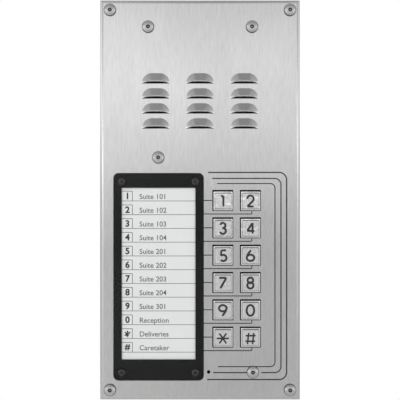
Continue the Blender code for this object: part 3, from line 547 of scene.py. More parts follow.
def relief(tree, shader, height, distance, strength):
    node = tree.nodes.new("ShaderNodeBump")
    node.inputs["Strength"].default_value = strength
    node.inputs["Distance"].default_value = distance
    tree.links.new(height, node.inputs["Height"])
    tree.links.new(node.outputs["Normal"], shader.inputs["Normal"])


def surface(name, tint, roughness, metallic=0.0, shade=None, gloss=None, height=None):
    """A finish whose shade, gloss and height each follow a grain.

    The shade is (spread, *grain), the gloss (low, high, *grain), the height (distance, strength,
    *grain).
    """
    material, tree, shader = new_finish(name, tint, roughness, metallic)
    if tree and shade:
        spread, *pattern = shade
        made = mottled(tree, grain(tree, *pattern), tint, spread)
        tree.links.new(made, shader.inputs["Base Color"])
    if tree and gloss:
        low, high, *pattern = gloss
        made = ranged(tree, grain(tree, *pattern), low, high)
        tree.links.new(made, shader.inputs["Roughness"])
    if tree and height:
        distance, strength, *pattern = height
        relief(tree, shader, grain(tree, *pattern), distance, strength)
    return material


def brushed_stainless(tint):
    """Vertical brushing in two widths, with faint broad smudges."""
    return surface(
        "brushed_stainless",
        tint,
        0.24,
        1.0,
        shade=(0.055, (1150.0, 1150.0, 130.0), 4.0, 0.65),
        gloss=(0.17, 0.22, (26.0, 26.0, 17.0), 3.0, 0.6, 0.4),
        height=(0.00002, 0.25, (3200.0, 3200.0, 160.0), 2.0, 0.5),
    )


def screw_steel(name, tint, roughness, front):
    """Turned steel: the crown keeps the steel's mottled tint, and painted shade darkens the recess
    and the head's edge.
    """
    scuff = (1500.0, 3.0, 0.6)
    swing = (roughness - 0.05, roughness + 0.05)
    material = surface(name, tint, roughness, 1.0, gloss=(*swing, *scuff))
    tree = material.node_tree
    crown = mottled(tree, grain(tree, *scuff), tint, 0.08)
    # Painted shade: deeper than half a millimetre behind the crown, the colour falls to a tenth of
    # the tint.
    deep = by_depth(tree, front + 0.0005, front + 0.00085)
    painted_shade = tuple(c * 0.1 for c in tint)
    shader = tree.nodes["Principled BSDF"]
    tree.links.new(blended(tree, deep, crown, painted_shade), shader.inputs["Base Color"])
    return material


def satin_metal(name, tint, roughness, scale=900.0, metallic=1.0):
    """Plated or machined metal with a fine mottle."""
    mottle = (scale, 4.0, 0.6)
    swing = (roughness - 0.06, roughness + 0.08)
    return surface(
        name,
        tint,
        roughness,
        metallic,
        shade=(0.10, *mottle),
        gloss=(*swing, *mottle),
        height=(0.00003, 0.2, *mottle),
    )


def moulded(name, tint, roughness, scale=1400.0, depth=0.00004, spread=0.06):
    """Moulded plastic, rubber, paint or card: a fine texture with a broad change of tone."""
    texture = (scale, 3.0, 0.6)
    swing = (roughness - 0.05, min(1.0, roughness + 0.06))
    return surface(
        name,
        tint,
        roughness,
        shade=(spread, 45.0, 2.0, 0.5),
        gloss=(*swing, *texture),
        height=(depth, 0.3, *texture),
    )


def clear_pane():
    """Clear sheet: it reflects more at a slant, and the rest passes straight through."""
    material, tree, shader = new_finish("clear_sheet", (1.0, 1.0, 1.0), 0.04)
    tree.nodes.remove(shader)
    slant = tree.nodes.new("ShaderNodeLayerWeight")
    slant.inputs["Blend"].default_value = 0.5
    steep = tree.nodes.new("ShaderNodeMath")
    steep.operation = "POWER"
    steep.inputs[1].default_value = 5.0
    share = ranged(tree, steep.outputs[0], 0.009, 0.9, 0.0, 1.0)
    through = tree.nodes.new("ShaderNodeBsdfTransparent")
    through.inputs["Color"].default_value = (0.985, 0.99, 0.988, 1.0)
    gloss = tree.nodes.new("ShaderNodeBsdfGlossy")
    gloss.inputs["Roughness"].default_value = 0.04
    mix = tree.nodes.new("ShaderNodeMixShader")
    tree.links.new(slant.outputs["Facing"], steep.inputs[0])
    tree.links.new(share, mix.inputs["Fac"])
    tree.links.new(through.outputs[0], mix.inputs[1])
    tree.links.new(gloss.outputs[0], mix.inputs[2])
    tree.links.new(mix.outputs[0], tree.nodes["Material Output"].inputs["Surface"])
    return material


# ---------------------------------------------------------------- faceplate


def louvre_middles(sizes):
    """The (x, z) of each louvre's foot, in the middle of its width."""
    field = 3 * sizes.louvre_pitch_z + sizes.louvre_height
    foot = SPEAKER.z - field / 2
    return [
        (column * sizes.louvre_pitch_x, foot + row * sizes.louvre_pitch_z)
        for row in range(4)
        for column in (-1, 0, 1)
    ]


def hood(name, half_width, height, rise, rear, sizes):
    """A pressed hood's solid at the origin: an even slope from its outline up to a short crest."""
    crest = 0.16
    piece = rod(name, (0.0, 0.0), 1.0, PLATE_FRONT, PLATE_FRONT - rise, 72, crest)
    work_on(piece)
    end = sizes.louvre_end - (sizes.louvre_width / 2 - half_width)
    bpy.ops.mesh.select_all(action="SELECT")
    bpy.ops.transform.resize(value=(end, 1.0, height), center_override=(0.0, 0.0, 0.0))
    for side in (-1, 1):
        pick(piece, "VERT", lambda vert: vert.co.x * side > 1e-6)
        bpy.ops.transform.translate(value=(side * (half_width - end), 0.0, 0.0))
    pick(piece, "FACE", lambda face: face.normal.y > 0.9)
    pull((0.0, rear - PLATE_FRONT, 0.0))
    put_down()
    return piece


def louvre_set(pattern, sizes, name):
    """A copy of a pattern at each louvre, as one object."""
    rows = [(f"{name}_{i}", place, 0.0) for i, place in enumerate(louvre_middles(sizes))]
    return join(copies_of(pattern, rows), name)


def cut_below(piece, height):
    """Removes what lies under a height and closes the cut."""
    work_on(piece)
    bpy.ops.mesh.select_all(action="SELECT")
    bpy.ops.mesh.bisect(
        plane_co=(0.0, 0.0, height),
        plane_no=(0.0, 0.0, 1.0),
        use_fill=True,
        clear_inner=True,
        threshold=1e-7,
    )
    put_down()


STUD_R = 0.0015
STUD_TIP_R = 0.0011
KEYPAD_STUD_END = -0.0410  # depth of the studs' ends
SPEAKER_STUD_END = -0.0440
SCREW_HOLE_R = 0.0023
LENS_SCREW_HOLE_R = 0.00155
VOICE_HOLE_R = 0.0011
KEY_CORNER = 0.0005  # radius of the corners of a key and of its window


class INTERCOM_OT_faceplate(Operator):
    """Folds the plate, presses the louvres and cuts every hole"""

    bl_idname = "intercom.faceplate"
    bl_label = "Faceplate"

    def execute(self, context):
        sizes = context.scene.intercom_sizes
        plate = self.folded_sheet(sizes)
        self.press_louvres(plate, sizes)
        self.weld_studs(plate)
        self.cut_holes(plate, sizes)
        self.break_edges(plate, sizes)
        soften(plate, 32.0)
        steel = brushed_stainless(context.scene.intercom_colours.stainless)
        dress(plate, HOUSING, steel, ["faceplate"])
        return {"FINISHED"}

    def folded_sheet(self, sizes):
        front = (PLATE_LOW.x, PLATE_FRONT, PLATE_LOW.z)
        rear = (PLATE_HIGH.x, PLATE_FRONT + sizes.flange, PLATE_HIGH.z)
        plate = block("folded_plate", front, rear)
        work_on(plate)
        pick(plate, "FACE", lambda face: face.normal.y > 0.9)
        bpy.ops.mesh.delete(type="ONLY_FACE")
        put_down()
        bevel(plate, lambda edge: centre(edge).y < PLATE_FRONT + 1e-6, sizes.bend, 8)
        apply(plate, "SOLIDIFY", thickness=sizes.sheet, offset=-1.0, use_even_offset=True)
        return plate

    def press_louvres(self, plate, sizes):
        half = sizes.louvre_width / 2
        skin = sizes.louvre_skin
        height, rise = sizes.louvre_height, sizes.louvre_rise
        outer = hood("hood", half, height, rise, PLATE_FRONT + sizes.sheet / 2, sizes)
        cut_below(outer, 0.0)
        add(plate, louvre_set(outer, sizes, "hoods"))
        behind = PLATE_REAR + sizes.sheet
        inner = hood("hollow", half - skin, height - skin, rise - skin, behind, sizes)
        cut_below(inner, 0.0)
        cut(plate, louvre_set(inner, sizes, "hollows"))
        cut(plate, louvre_set(self.slot(sizes), sizes, "slots"))

    def slot(self, sizes):
        """A flat arch that opens under a hood. It flares to the front, which rolls the lip."""
        across, up = sizes.louvre_width / 2 - 0.00015, sizes.louvre_slot
        slot = rod("slot", (0.0, 0.0), 1.0, PLATE_REAR + sizes.sheet, PLATE_FRONT - 0.0006, 72)
        work_on(slot)
        bpy.ops.mesh.select_all(action="SELECT")
        bpy.ops.transform.resize(value=(across, 1.0, up), center_override=(0.0, 0.0, 0.0))
        pick(slot, "FACE", lambda face: face.normal.y < -0.9)
        roll = sizes.louvre_lip
        steps, before, depth = [], 0.0, 0.0
        for angle in (18, 36, 54, 72, 90):
            out = roll * (1 - math.cos(math.radians(angle)))
            reach = roll * math.sin(math.radians(angle))
            scales = (across + out) / (across + before), (up + out) / (up + before)
            steps.append((*scales, depth - reach))
            before, depth = out, reach
        steps.append((1.05, 1.6, -0.004))
        draw_out((0.0, 0.0), steps)
        put_down()
        cut_below(slot, 0.0)
        return slot

    def weld_studs(self, plate):
        """Studs with a chamfered end, rooted in the plate."""
        root = PLATE_REAR - 0.0006
        studs = []
        for places, end in (
            (keypad_stud_places(), KEYPAD_STUD_END),
            (speaker_stud_places(), SPEAKER_STUD_END),
        ):
            for place in places:
                studs.append(rod("stud", place, STUD_R, end, root, 20))
                tip = rod("stud_tip", place, STUD_TIP_R, end + 0.0004, end - 0.0001, 20, STUD_R)
                studs.append(tip)
        add(plate, join(studs, "studs"))

    def cut_holes(self, plate, sizes):
        before, behind = PLATE_FRONT - 0.002, PLATE_REAR + 0.002
        tools = []
        half = sizes.key_window / 2
        for place in KEY_PLACES:
            low = (place.x - half, before, place.z - half)
            window = block("window", low, (place.x + half, behind, place.z + half))
            round_sides(window, KEY_CORNER, 4)
            tools.append(window)
        round_holes = [(node, SCREW_HOLE_R, 32) for node in SCREW_NODES]
        round_holes += [(node, LENS_SCREW_HOLE_R, 24) for node in LENS_SCREW_NODES]
        round_holes.append(("microphone_capsule", VOICE_HOLE_R, 32))
        for node, radius, sides in round_holes:
            tools.append(rod("hole", spot(node), radius, behind, before, sides))
        cut(plate, join(tools, "holes"))

    def break_edges(self, plate, sizes):
        """Takes the sharpness off the front edge of each hole."""
        louvres_top = SPEAKER.z + 2.5 * sizes.louvre_pitch_z
        louvres_foot = SPEAKER.z - 2.5 * sizes.louvre_pitch_z

        def hole_edge(edge):
            place = centre(edge)
            return (
                abs(place.y - PLATE_FRONT) < 1e-6
                and any(face.normal.y < -0.99 for face in edge.link_faces)
                and any(abs(face.normal.y) < 0.1 for face in edge.link_faces)
                and abs(place.x) < PLATE_HIGH.x - 0.003
                and not (abs(place.x) < 0.04 and louvres_foot < place.z < louvres_top)
            )

        bevel(plate, hole_edge, sizes.edge_break, 2)


def corners(node, inset):
    """The four (x, z) that stand an inset in from the corners of a node's box."""
    low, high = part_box(node)
    columns, rows = (low.x + inset, high.x - inset), (low.z + inset, high.z - inset)
    return [(x, z) for x in columns for z in rows]


def keypad_stud_places():
    return corners("keypad_frame", 0.00365)


def speaker_stud_places():
    low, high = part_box("speaker_basket")
    out = ((high.x - low.x) / 2 - 0.00275) * math.cos(math.pi / 4)
    return [(SPEAKER.x + i * out, SPEAKER.z + j * out) for i in (-1, 1) for j in (-1, 1)]



# ---------------------------------------------------------------- print on the plate


LENS_LAP = 0.0002  # how far a line starts under the lens's edge
WINDOW_SHY = 0.00015  # bare plate between a line's end and the key's window
LINE_CORNER = 0.0006
# Past the keypad: right, up and down. Then where the top and the foot begin, from the lens, the
# corners' radius and the share of the outermost bracket's width. The middle one has a gap in its
# foot at the screw.
BRACKETS = (
    ("outer", 0.0230, 0.0178, 0.02695, 0.0028, 0.0021, 0.0047, 1.0),
    ("middle", 0.0194, 0.0140, 0.02255, 0.0053, None, 0.0039, 0.92),
    ("inner", 0.0156, 0.01075, 0.01875, 0.0085, 0.0091, 0.0029, 0.8),
)
FOOT_START = 0.0059  # of the middle bracket's foot, from the lens
SCREW_GAP = (0.0034, 0.0053)  # bare plate to the left and to the right of the screw's middle


class INTERCOM_OT_plate_print(Operator):
    """Prints a line from each directory row to its key, and the brackets round the keypad"""

    bl_idname = "intercom.plate_print"
    bl_label = "Printed lines"

    def execute(self, context):
        sizes = context.scene.intercom_sizes
        ink = moulded("black_ink", context.scene.intercom_colours.ink, 0.42, 2200.0, 0.00001, 0.2)
        for i, place in enumerate(KEY_PLACES):
            line = self.key_line(i, place, sizes)
            self.finish(line, sizes, ink)
        for name, bracket in self.brackets(sizes):
            self.finish(bracket, sizes, ink)
        return {"FINISHED"}

    def finish(self, line, sizes, ink):
        thicken(line, sizes.ink)
        dress(line, HOUSING, ink)

    def key_line(self, i, place, sizes):
        """Straight to a key of the first column, or under it and up to one of the second."""
        name = f"key_line_{KEY_NAMES[i]}"
        half = sizes.key_window / 2
        start_x = LENS_HIGH.x - LENS_LAP
        if i % 2 == 0:
            reach = place.x - half - WINDOW_SHY - start_x
            return stripe(name, (start_x, place.z), 0.0, sizes.line, PLATE_FRONT, [("go", reach)])
        corner = LINE_CORNER
        z = place.z - sizes.row_pitch + 0.00013
        across = place.x + 0.0009 - corner - start_x
        up = place.z - half - WINDOW_SHY - z - corner
        moves = [("go", across), ("turn", corner, 90.0), ("go", up)]
        return stripe(name, (start_x, z), 0.0, sizes.line, PLATE_FRONT, moves)

    def brackets(self, sizes):
        """Three nested brackets: each one's name and its stripe."""
        first, last = KEY_PLACES[0], KEY_PLACES[-1]
        screw = middle("chassis_screw_4")
        for name, right, up, down, top_start, foot_end, corner, share in BRACKETS:
            width = sizes.bracket * share
            side = last.x + right
            top, foot = first.z + up, last.z - down
            start = LENS_HIGH.x + top_start
            end = screw.x + SCREW_GAP[1] if foot_end is None else LENS_HIGH.x + foot_end
            moves = [
                ("go", side - corner - start),
                ("turn", corner, -90.0),
                ("go", top - foot - 2 * corner),
                ("turn", corner, -90.0),
                ("go", side - corner - end),
            ]
            yield name, stripe(f"bracket_{name}", (start, top), 0.0, width, PLATE_FRONT, moves)
            if foot_end is None:
                begin = LENS_HIGH.x + FOOT_START
                reach = screw.x - SCREW_GAP[0] - begin
                yield name, stripe(
                    "bracket_middle_foot", (begin, foot), 0.0, width, PLATE_FRONT, [("go", reach)]
                )


# ---------------------------------------------------------------- screws and nuts


def hex_key_recess(piece, place, front, across, deep, pin):
    """Cuts a six-sided recess from the front and leaves a pin in it."""
    cut(piece, rod("recess", place, across / 2, front + deep, front - 0.001, 6))
    if pin:
        rear = front + deep + 0.0001
        add(piece, rod("pin", place, pin, rear, front + deep * 0.25, 16, pin * 0.8))


class INTERCOM_OT_button_screws(Operator):
    """Turns the button-head screws of the corners and of the electronics"""

    bl_idname = "intercom.button_screws"
    bl_label = "Button-head screws"

    def execute(self, context):
        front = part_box("corner_screw_1")[0].y
        steel = screw_steel("screw_steel", context.scene.intercom_colours.bright, 0.33, front)
        for kind in ("corner", "chassis"):
            low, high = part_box(f"{kind}_screw_1")
            nodes = [f"{kind}_screw_{i}" for i in range(1, 5)]
            # Each screw was driven home at a turn of its own.
            extra = 11.0 if kind == "chassis" else 0.0
            rows = [
                (f"{kind}_button_screw_{i}", spot(node), math.radians(23.0 * i + extra))
                for i, node in enumerate(nodes, 1)
            ]
            for node, piece in zip(nodes, copies_of(self.screw(low.y, high.y), rows)):
                soften(piece, 38.0)
                dress(piece, HOUSING, steel, [node])
        return {"FINISHED"}

    def screw(self, front, tip):
        """A crowned head with a rounded edge, and a shank with a turned groove at each thread."""
        under = PLATE_FRONT - GAP
        head_r, shank_r = 0.0039, 0.00198
        profile = [(shank_r * 0.72, tip), (shank_r, tip - 0.0005)]
        depth = tip - 0.0008
        while depth > PLATE_REAR + 0.0009:
            groove = (shank_r * 0.86, depth - 0.00025)
            profile += [(shank_r, depth), groove, (shank_r, depth - 0.0005)]
            depth -= 0.0007
        profile += [(shank_r, under), (head_r - 0.0002, under), (head_r, under - 0.0002)]
        profile += [(head_r, front + 0.0011), (0.00378, front + 0.0008), (0.0034, front + 0.00052)]
        profile += [(0.0029, front + 0.00028), (0.0023, front + 0.0001), (0.0017, front)]
        piece = turned("button_screw", (0.0, 0.0), profile, 56)
        hex_key_recess(piece, (0.0, 0.0), front, 0.0028, 0.0009, 0.0004)
        return piece


class INTERCOM_OT_lens_screws(Operator):
    """Turns the black screws that hold the directory's lens"""

    bl_idname = "intercom.lens_screws"
    bl_label = "Lens screws"

    def execute(self, context):
        low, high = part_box("lens_screw_1")
        # On these screws the painted shade of the recess and of the head's edge starts a quarter
        # millimetre nearer the front.
        black = screw_steel("black_steel", (0.07, 0.07, 0.073), 0.22, low.y - 0.00025)
        under = LENS_LOW.y - GAP
        head_r, shank_r, front = 0.0024, 0.00123, low.y
        profile = [(shank_r * 0.7, high.y), (shank_r, high.y - 0.0004)]
        profile += [(shank_r, under), (head_r - 0.0001, under), (head_r, under - 0.0001)]
        profile += arc((0.0015, under - 0.0001), (0.0009, front - under + 0.00012), 0, 85, 5)
        profile += [(0.0011, front)]
        pattern = turned("lens_screw", (0.0, 0.0), profile, 40)
        hex_key_recess(pattern, (0.0, 0.0), front, 0.0019, 0.0005, 0.0)
        rows = [
            (f"black_screw_{i + 1}", spot(node), math.radians(17.0 * i))
            for i, node in enumerate(LENS_SCREW_NODES)
        ]
        for node, piece in zip(LENS_SCREW_NODES, copies_of(pattern, rows)):
            soften(piece, 38.0)
            dress(piece, HOUSING, black, [node])
        return {"FINISHED"}


class INTERCOM_OT_nuts(Operator):
    """Puts a washered nut on each stud and on each lens screw"""

    bl_idname = "intercom.nuts"
    bl_label = "Nuts"

    def execute(self, context):
        zinc = satin_metal("zinc_plate", (0.52, 0.53, 0.54), 0.36)
        keypad_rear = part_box("keypad_board")[1].y
        flange_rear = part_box("speaker_basket")[0].y + 0.0012
        lens_places = [spot(node) for node in LENS_SCREW_NODES]
        # Name, places, seat, bore, height and width across the flats.
        kinds = (
            ("keypad_nut", keypad_stud_places(), keypad_rear, 0.0016, 0.0018, 0.0055),
            ("speaker_nut", speaker_stud_places(), flange_rear, 0.0016, 0.0020, 0.0055),
            ("lens_nut", lens_places, PLATE_REAR, 0.00133, 0.0018, 0.0048),
        )
        for name, places, seat, bore, height, across in kinds:
            pattern = self.nut(seat + 0.0001, bore, height, across)
            rows = [(f"{name}_{i + 1}", place, 0.4 * i) for i, place in enumerate(places)]
            for piece in copies_of(pattern, rows):
                soften(piece, 30.0)
                dress(piece, HOUSING, zinc)
        return {"FINISHED"}

    def nut(self, seat, bore, height, across):
        """A hexagon with chamfered corners on a thin washer."""
        corner = across / 2 / math.cos(math.pi / 6)
        piece = rod("nut", (0.0, 0.0), corner, seat + height, seat + 0.0003, 6)
        rear = seat + height + 1e-5
        chamfer = rod("chamfer", (0.0, 0.0), corner * 0.9, rear, seat, 48, corner * 1.3)
        combine(piece, chamfer, "INTERSECT")
        add(piece, rod("washer", (0.0, 0.0), corner * 1.08, seat + 0.0004, seat, 40))
        cut(piece, rod("bore", (0.0, 0.0), bore, seat + height + 0.001, seat - 0.001, 24))
        return piece


# ---------------------------------------------------------------- directory


LENS_CORNER = 0.0032


class INTERCOM_OT_lens(Operator):
    """Cuts the clear lens, with round corners and a polished edge"""

    bl_idname = "intercom.lens"
    bl_label = "Directory lens"

    def execute(self, context):
        lens = block("clear_lens", LENS_LOW, LENS_HIGH)
        round_sides(lens, LENS_CORNER, 12)
        before, behind = LENS_LOW.y - 0.001, LENS_HIGH.y + 0.001
        holes = [
            rod("hole", spot(node), LENS_SCREW_HOLE_R, behind, before) for node in LENS_SCREW_NODES
        ]
        cut(lens, join(holes, "lens_holes"))

        def outline(edge):
            place = centre(edge)
            gaps = *(place - LENS_LOW), *(LENS_HIGH - place)
            beside = min(gaps[0], gaps[2], gaps[3], gaps[5])
            return beside < LENS_CORNER / 2 and not spans(edge, 1)

        bevel(lens, outline, 0.00022, 3)
        soften(lens, 40.0)
        dress(lens, HOUSING, clear_pane(), ["directory_lens"])
        return {"FINISHED"}


CARD_EDGE = 0.0004  # bare card beside the print
CARD_DROP = 0.0003  # from the first key's middle down to the first rule
SQUARE_SIDE = 0.0073
SQUARE_HEIGHT = 0.0062
LETTERS_RISE = 0.00125  # from a rule up to the letters' foot
NUMBER_RIGHT = 0.00055  # from a square's middle
LABEL_RIGHT = 0.0117
SIGNS = {"*": (0.0085, 0.0026), "#": (0.0054, -0.0004)}  # size, and drop below the digits' foot


class INTERCOM_OT_card_print(Operator):
    """Prints the card's rules, its numbered squares and a plain label on each line"""

    bl_idname = "intercom.card_print"
    bl_label = "Card print"

    numbers = "1234567890*#"
    suites = (101, 102, 103, 104, 201, 202, 203, 204, 301)
    labels = (*[f"Suite {suite}" for suite in suites], "Reception", "Deliveries", "Caretaker")

    def execute(self, context):
        sizes = context.scene.intercom_sizes
        colours = context.scene.intercom_colours
        black = moulded("card_ink", colours.ink, 0.6, 2200.0, 0.0, 0.15)
        grey = moulded("grey_card_ink", colours.grey_ink, 0.6, 2200.0, 0.0, 0.12)
        left, right = CARD_LOW.x + CARD_EDGE, CARD_HIGH.x - CARD_EDGE
        side = left + SQUARE_SIDE
        corner = 0.00022
        for i, (number, label) in enumerate(zip(self.numbers, self.labels)):
            z = KEY_PLACES[0].z - CARD_DROP - i * sizes.row_pitch
            whole = [("go", right - left)]
            rule = stripe(f"rule_{i + 1}", (left, z), 0.0, sizes.ruling, CARD_LOW.y, whole)
            moves = [
                ("go", side - corner - left),
                ("turn", corner, -90.0),
                ("go", SQUARE_HEIGHT - corner - sizes.ruling / 2),
            ]
            start = (left, z + SQUARE_HEIGHT)
            square = stripe(
                f"square_{i + 1}", start, 0.0, sizes.ruling * 1.1, CARD_LOW.y, moves
            )
            for piece in (rule, square):
                thicken(piece, sizes.ink / 2)
                dress(piece, HOUSING, grey)
            base = z + LETTERS_RISE
            size, drop = SIGNS.get(number, (0.0056, 0.0))
            place = (side - SQUARE_SIDE / 2 + NUMBER_RIGHT, base - drop)
            bold = self.lettering(f"number_{i + 1}", number, place, size, "CENTER")
            dress(bold, HOUSING, black)
            place = (left + LABEL_RIGHT, base)
            words = self.lettering(f"label_{i + 1}", label, place, sizes.label_height, "LEFT")
            dress(words, HOUSING, grey)
        return {"FINISHED"}

    def lettering(self, name, words, place, size, align):
        """Flat letters on the card, made a mesh. Centred ones are bold."""
        put_down()
        bpy.ops.object.text_add(
            location=(place[0], CARD_LOW.y - 0.00002, place[1]), rotation=(math.pi / 2, 0.0, 0.0)
        )
        text = bpy.context.object
        text.data.body = words
        text.data.size = size
        text.data.align_x = align
        text.data.resolution_u = 4
        text.data.extrude = 0.000015
        text.data.offset = 0.00019 if align == "CENTER" else 0.00004
        bpy.ops.object.convert(target="MESH")
        return settle(bpy.context.object, name)


# ---------------------------------------------------------------- keys


KEY_SIDES = ((-0.00595, 0.0063), (-0.00635, 0.0057))  # a cap hangs low and right in its window
KEY_RIM_SINK = 0.0008
KEY_FLANGE = 0.0012
PLUNGER_HALF = 0.0025


def key_rows(kind):
    """A name and a place for a copy at each key."""
    return [(f"{kind}_{name}", (p.x, p.z), 0.0) for name, p in zip(KEY_NAMES, KEY_PLACES)]


class INTERCOM_OT_keys(Operator):
    """Machines the twelve metal keys"""

    bl_idname = "intercom.keys"
    bl_label = "Keys"

    def execute(self, context):
        sizes = context.scene.intercom_sizes
        steel = key_steel(context.scene.intercom_colours.key)
        for name, piece in zip(KEY_NAMES, copies_of(self.key(sizes), key_rows("key_cap"))):
            soften(piece, 32.0)
            dress(piece, f"key_{name}", steel, [f"key_{name}"])
        return {"FINISHED"}

    def key(self, sizes):
        """A cap with a rim and a raised plateau, on a flange, with a plunger behind."""
        low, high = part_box("key_1")
        rear = PLATE_REAR + GAP
        rim = PLATE_FRONT + KEY_RIM_SINK
        inside = rear + KEY_FLANGE / 2
        (left, right), (foot, top) = KEY_SIDES
        key = block("key_cap", (left, rim, foot), (right, inside, top))
        round_sides(key, KEY_CORNER, 4)
        work_on(key)
        pick(key, "FACE", lambda face: face.normal.y < -0.9)
        place = [(a + b) / 2 for a, b in KEY_SIDES]
        caps = [b - a for a, b in KEY_SIDES]
        inners = [cap - 2 * sizes.key_rim for cap in caps]
        plateaus = [inner - 2 * sizes.key_slope for inner in inners]
        to_inner = [b / a for a, b in zip(caps, inners)]
        to_plateau = [b / a for a, b in zip(inners, plateaus)]
        draw_out(place, [(*to_inner, 0.0), (*to_plateau, low.y - rim)])
        put_down()
        self.round_edges(key, low.y, rim)
        flange = block("flange", (low.x, rear, low.z), (high.x, rear + KEY_FLANGE, high.z))
        flange.location -= Vector((KEY_PLACES[0].x, 0.0, KEY_PLACES[0].z))
        settle(flange, "flange")
        half = PLUNGER_HALF
        plunger = block("plunger", (-half, inside, -half), (half, high.y, half))
        add(flange, plunger)
        add(key, flange)
        return key

    def round_edges(self, key, front, rim):
        def outline_of(depth, turned_to_front):
            def test(edge):
                level = all(abs(vert.co.y - depth) < 1e-6 for vert in edge.verts)
                faces = sorted(face.normal.y for face in edge.link_faces)
                return level and faces[0] < -0.99 and turned_to_front(faces[-1])

            return test

        bevel(key, outline_of(front, lambda tilt: tilt > -0.9), 0.00016, 3)
        bevel(key, outline_of(rim, lambda tilt: abs(tilt) < 0.1), 0.00014, 3)


def key_steel(tint):
    """Polished metal with uneven buffing. Painted shade darkens the slope down to the rim, and
    turns near black behind the plate's front, in the gap round the key.
    """
    material, tree, shader = new_finish("key_steel", tint, 0.2, 1.0)
    if tree:
        wave = grain(tree, 190.0, 1.0, 0.5, 0.6)
        scuff = grain(tree, (1700.0, 1700.0, 500.0), 3.0, 0.6)
        buffed = mottled(tree, scuff, tint, 0.06)
        # Painted shade on the slope, from just before the plate's front back to the rim, which
        # keeps the buffed colour.
        slope = by_depth(tree, PLATE_FRONT - 0.0003, PLATE_FRONT)
        rim = by_depth(tree, PLATE_FRONT + 0.0006, PLATE_FRONT + 0.0007)
        # Painted shade in the gap round the key: near black behind the rim.
        behind = by_depth(tree, PLATE_FRONT + 0.0010, PLATE_FRONT + 0.0014)
        shaded_slope = blended(tree, slope, buffed, tuple(c * 0.30 for c in tint))
        unshaded_rim = blended(tree, rim, shaded_slope, buffed)
        gap_shade = blended(tree, behind, unshaded_rim, (0.004,) * 3)
        tree.links.new(gap_shade, shader.inputs["Base Color"])
        tree.links.new(ranged(tree, scuff, 0.13, 0.2), shader.inputs["Roughness"])
        relief(tree, shader, wave, 0.0004, 0.36)
    return material


RING = 360.0


def legend_strokes():
    """Each legend as pen strokes: start in millimetres from its middle, heading and moves."""

    def go(reach):
        return ("go", reach)

    def turn(radius, degrees):
        return ("turn", radius, degrees)

    tall = [turn(2.05, 60), turn(4.65, 60), turn(2.05, 120), turn(4.65, 60), turn(2.05, 60)]
    wide = [turn(2.66, 45), turn(1.7, 90), turn(2.66, 90), turn(1.7, 90), turn(2.66, 45)]
    return {
        "1": [((0.35, 3.4), -90.0, [go(6.85)]), ((-1.15, 2.95), 12.0, [go(1.4)])],
        "2": [((-2.05, 1.4), 90.0, [turn(2.05, -225), go(4.81)]), ((-1.95, -3.45), 0.0, [go(4.0)])],
        "3": [
            ((-1.57, 2.22), 75.0, [turn(1.62, -255)]),
            ((-0.35, 0.2), 0.0, [go(0.35), turn(1.85, -255)]),
        ],
        "4": [
            ((1.3, 3.4), -123.7, [go(6.0)]),
            ((-2.05, -1.6), 0.0, [go(4.7)]),
            ((1.35, 3.4), -90.0, [go(6.7)]),
        ],
        "5": [
            ((1.95, 3.4), 180.0, [go(2.95)]),
            ((-1.0, 3.4), -93.0, [go(3.55)]),
            ((-1.19, -0.2), 50.0, [turn(1.95, -285)]),
        ],
        "6": [((0.0, -3.33), 0.0, wide), ((-2.2, -0.05), 55.6, [go(4.4)])],
        "7": [((-2.3, 3.3), 0.0, [go(4.5)]), ((2.2, 3.3), -119.2, [go(7.75)])],
        "8": [((0.0, 3.45), 180.0, [turn(1.75, RING)]), ((0.0, 0.45), 180.0, [turn(1.95, RING)])],
        "9": [((0.0, 3.33), 180.0, wide), ((2.2, 0.05), -124.4, [go(4.4)])],
        "0": [((0.0, 3.35), 180.0, tall)],
        "star": [
            ((-2.2, 2.75), -55.4, [go(7.8)]),
            ((2.2, 2.75), -124.6, [go(7.8)]),
            ((-3.9, -0.45), 0.0, [go(7.8)]),
        ],
        "hash": [
            ((-1.1, 3.0), -96.5, [go(7.2)]),
            ((2.15, 3.0), -96.5, [go(7.2)]),
            ((-3.0, 1.3), 0.0, [go(6.4)]),
            ((-3.2, -2.25), 0.0, [go(6.3)]),
        ],
    }


class INTERCOM_OT_key_legends(Operator):
    """Fills each key's legend with black paint"""

    bl_idname = "intercom.key_legends"
    bl_label = "Key legends"

    def execute(self, context):
        sizes = context.scene.intercom_sizes
        tint = context.scene.intercom_colours.ink
        paint = moulded("legend_paint", tint, 0.3, 2000.0, 0.00001, 0.2)
        scale = sizes.glyph_height / 8.1
        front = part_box("key_1")[0].y
        sink = 0.00035
        for name, place in zip(KEY_NAMES, KEY_PLACES):
            strokes = []
            for start, heading, moves in legend_strokes()[name]:
                spot = (place.x + start[0] * scale, place.z - sink + start[1] * scale)
                scaled = [(move[0], move[1] * scale, *move[2:]) for move in moves]
                turned_by = sum(move[2] for move in moves if move[0] == "turn")
                ends = "square" if abs(turned_by) >= RING else "round"
                width = sizes.glyph_stroke * (0.8 if name in ("star", "hash") else 1.0)
                stroke = stripe("stroke", spot, heading, width, front, scaled, ends)
                # Strokes that cross differ in thickness, so that no two faces coincide.
                thicken(stroke, sizes.ink * (1.0 - 0.12 * len(strokes)))
                strokes.append(stroke)
            legend = join(strokes, f"legend_{name}")
            dress(legend, f"key_{name}", paint)
        return {"FINISHED"}


# ---------------------------------------------------------------- keypad mat and back box


def grey_rubber(context):
    return moulded("grey_rubber", context.scene.intercom_colours.rubber, 0.72, 1100.0, 0.00006)


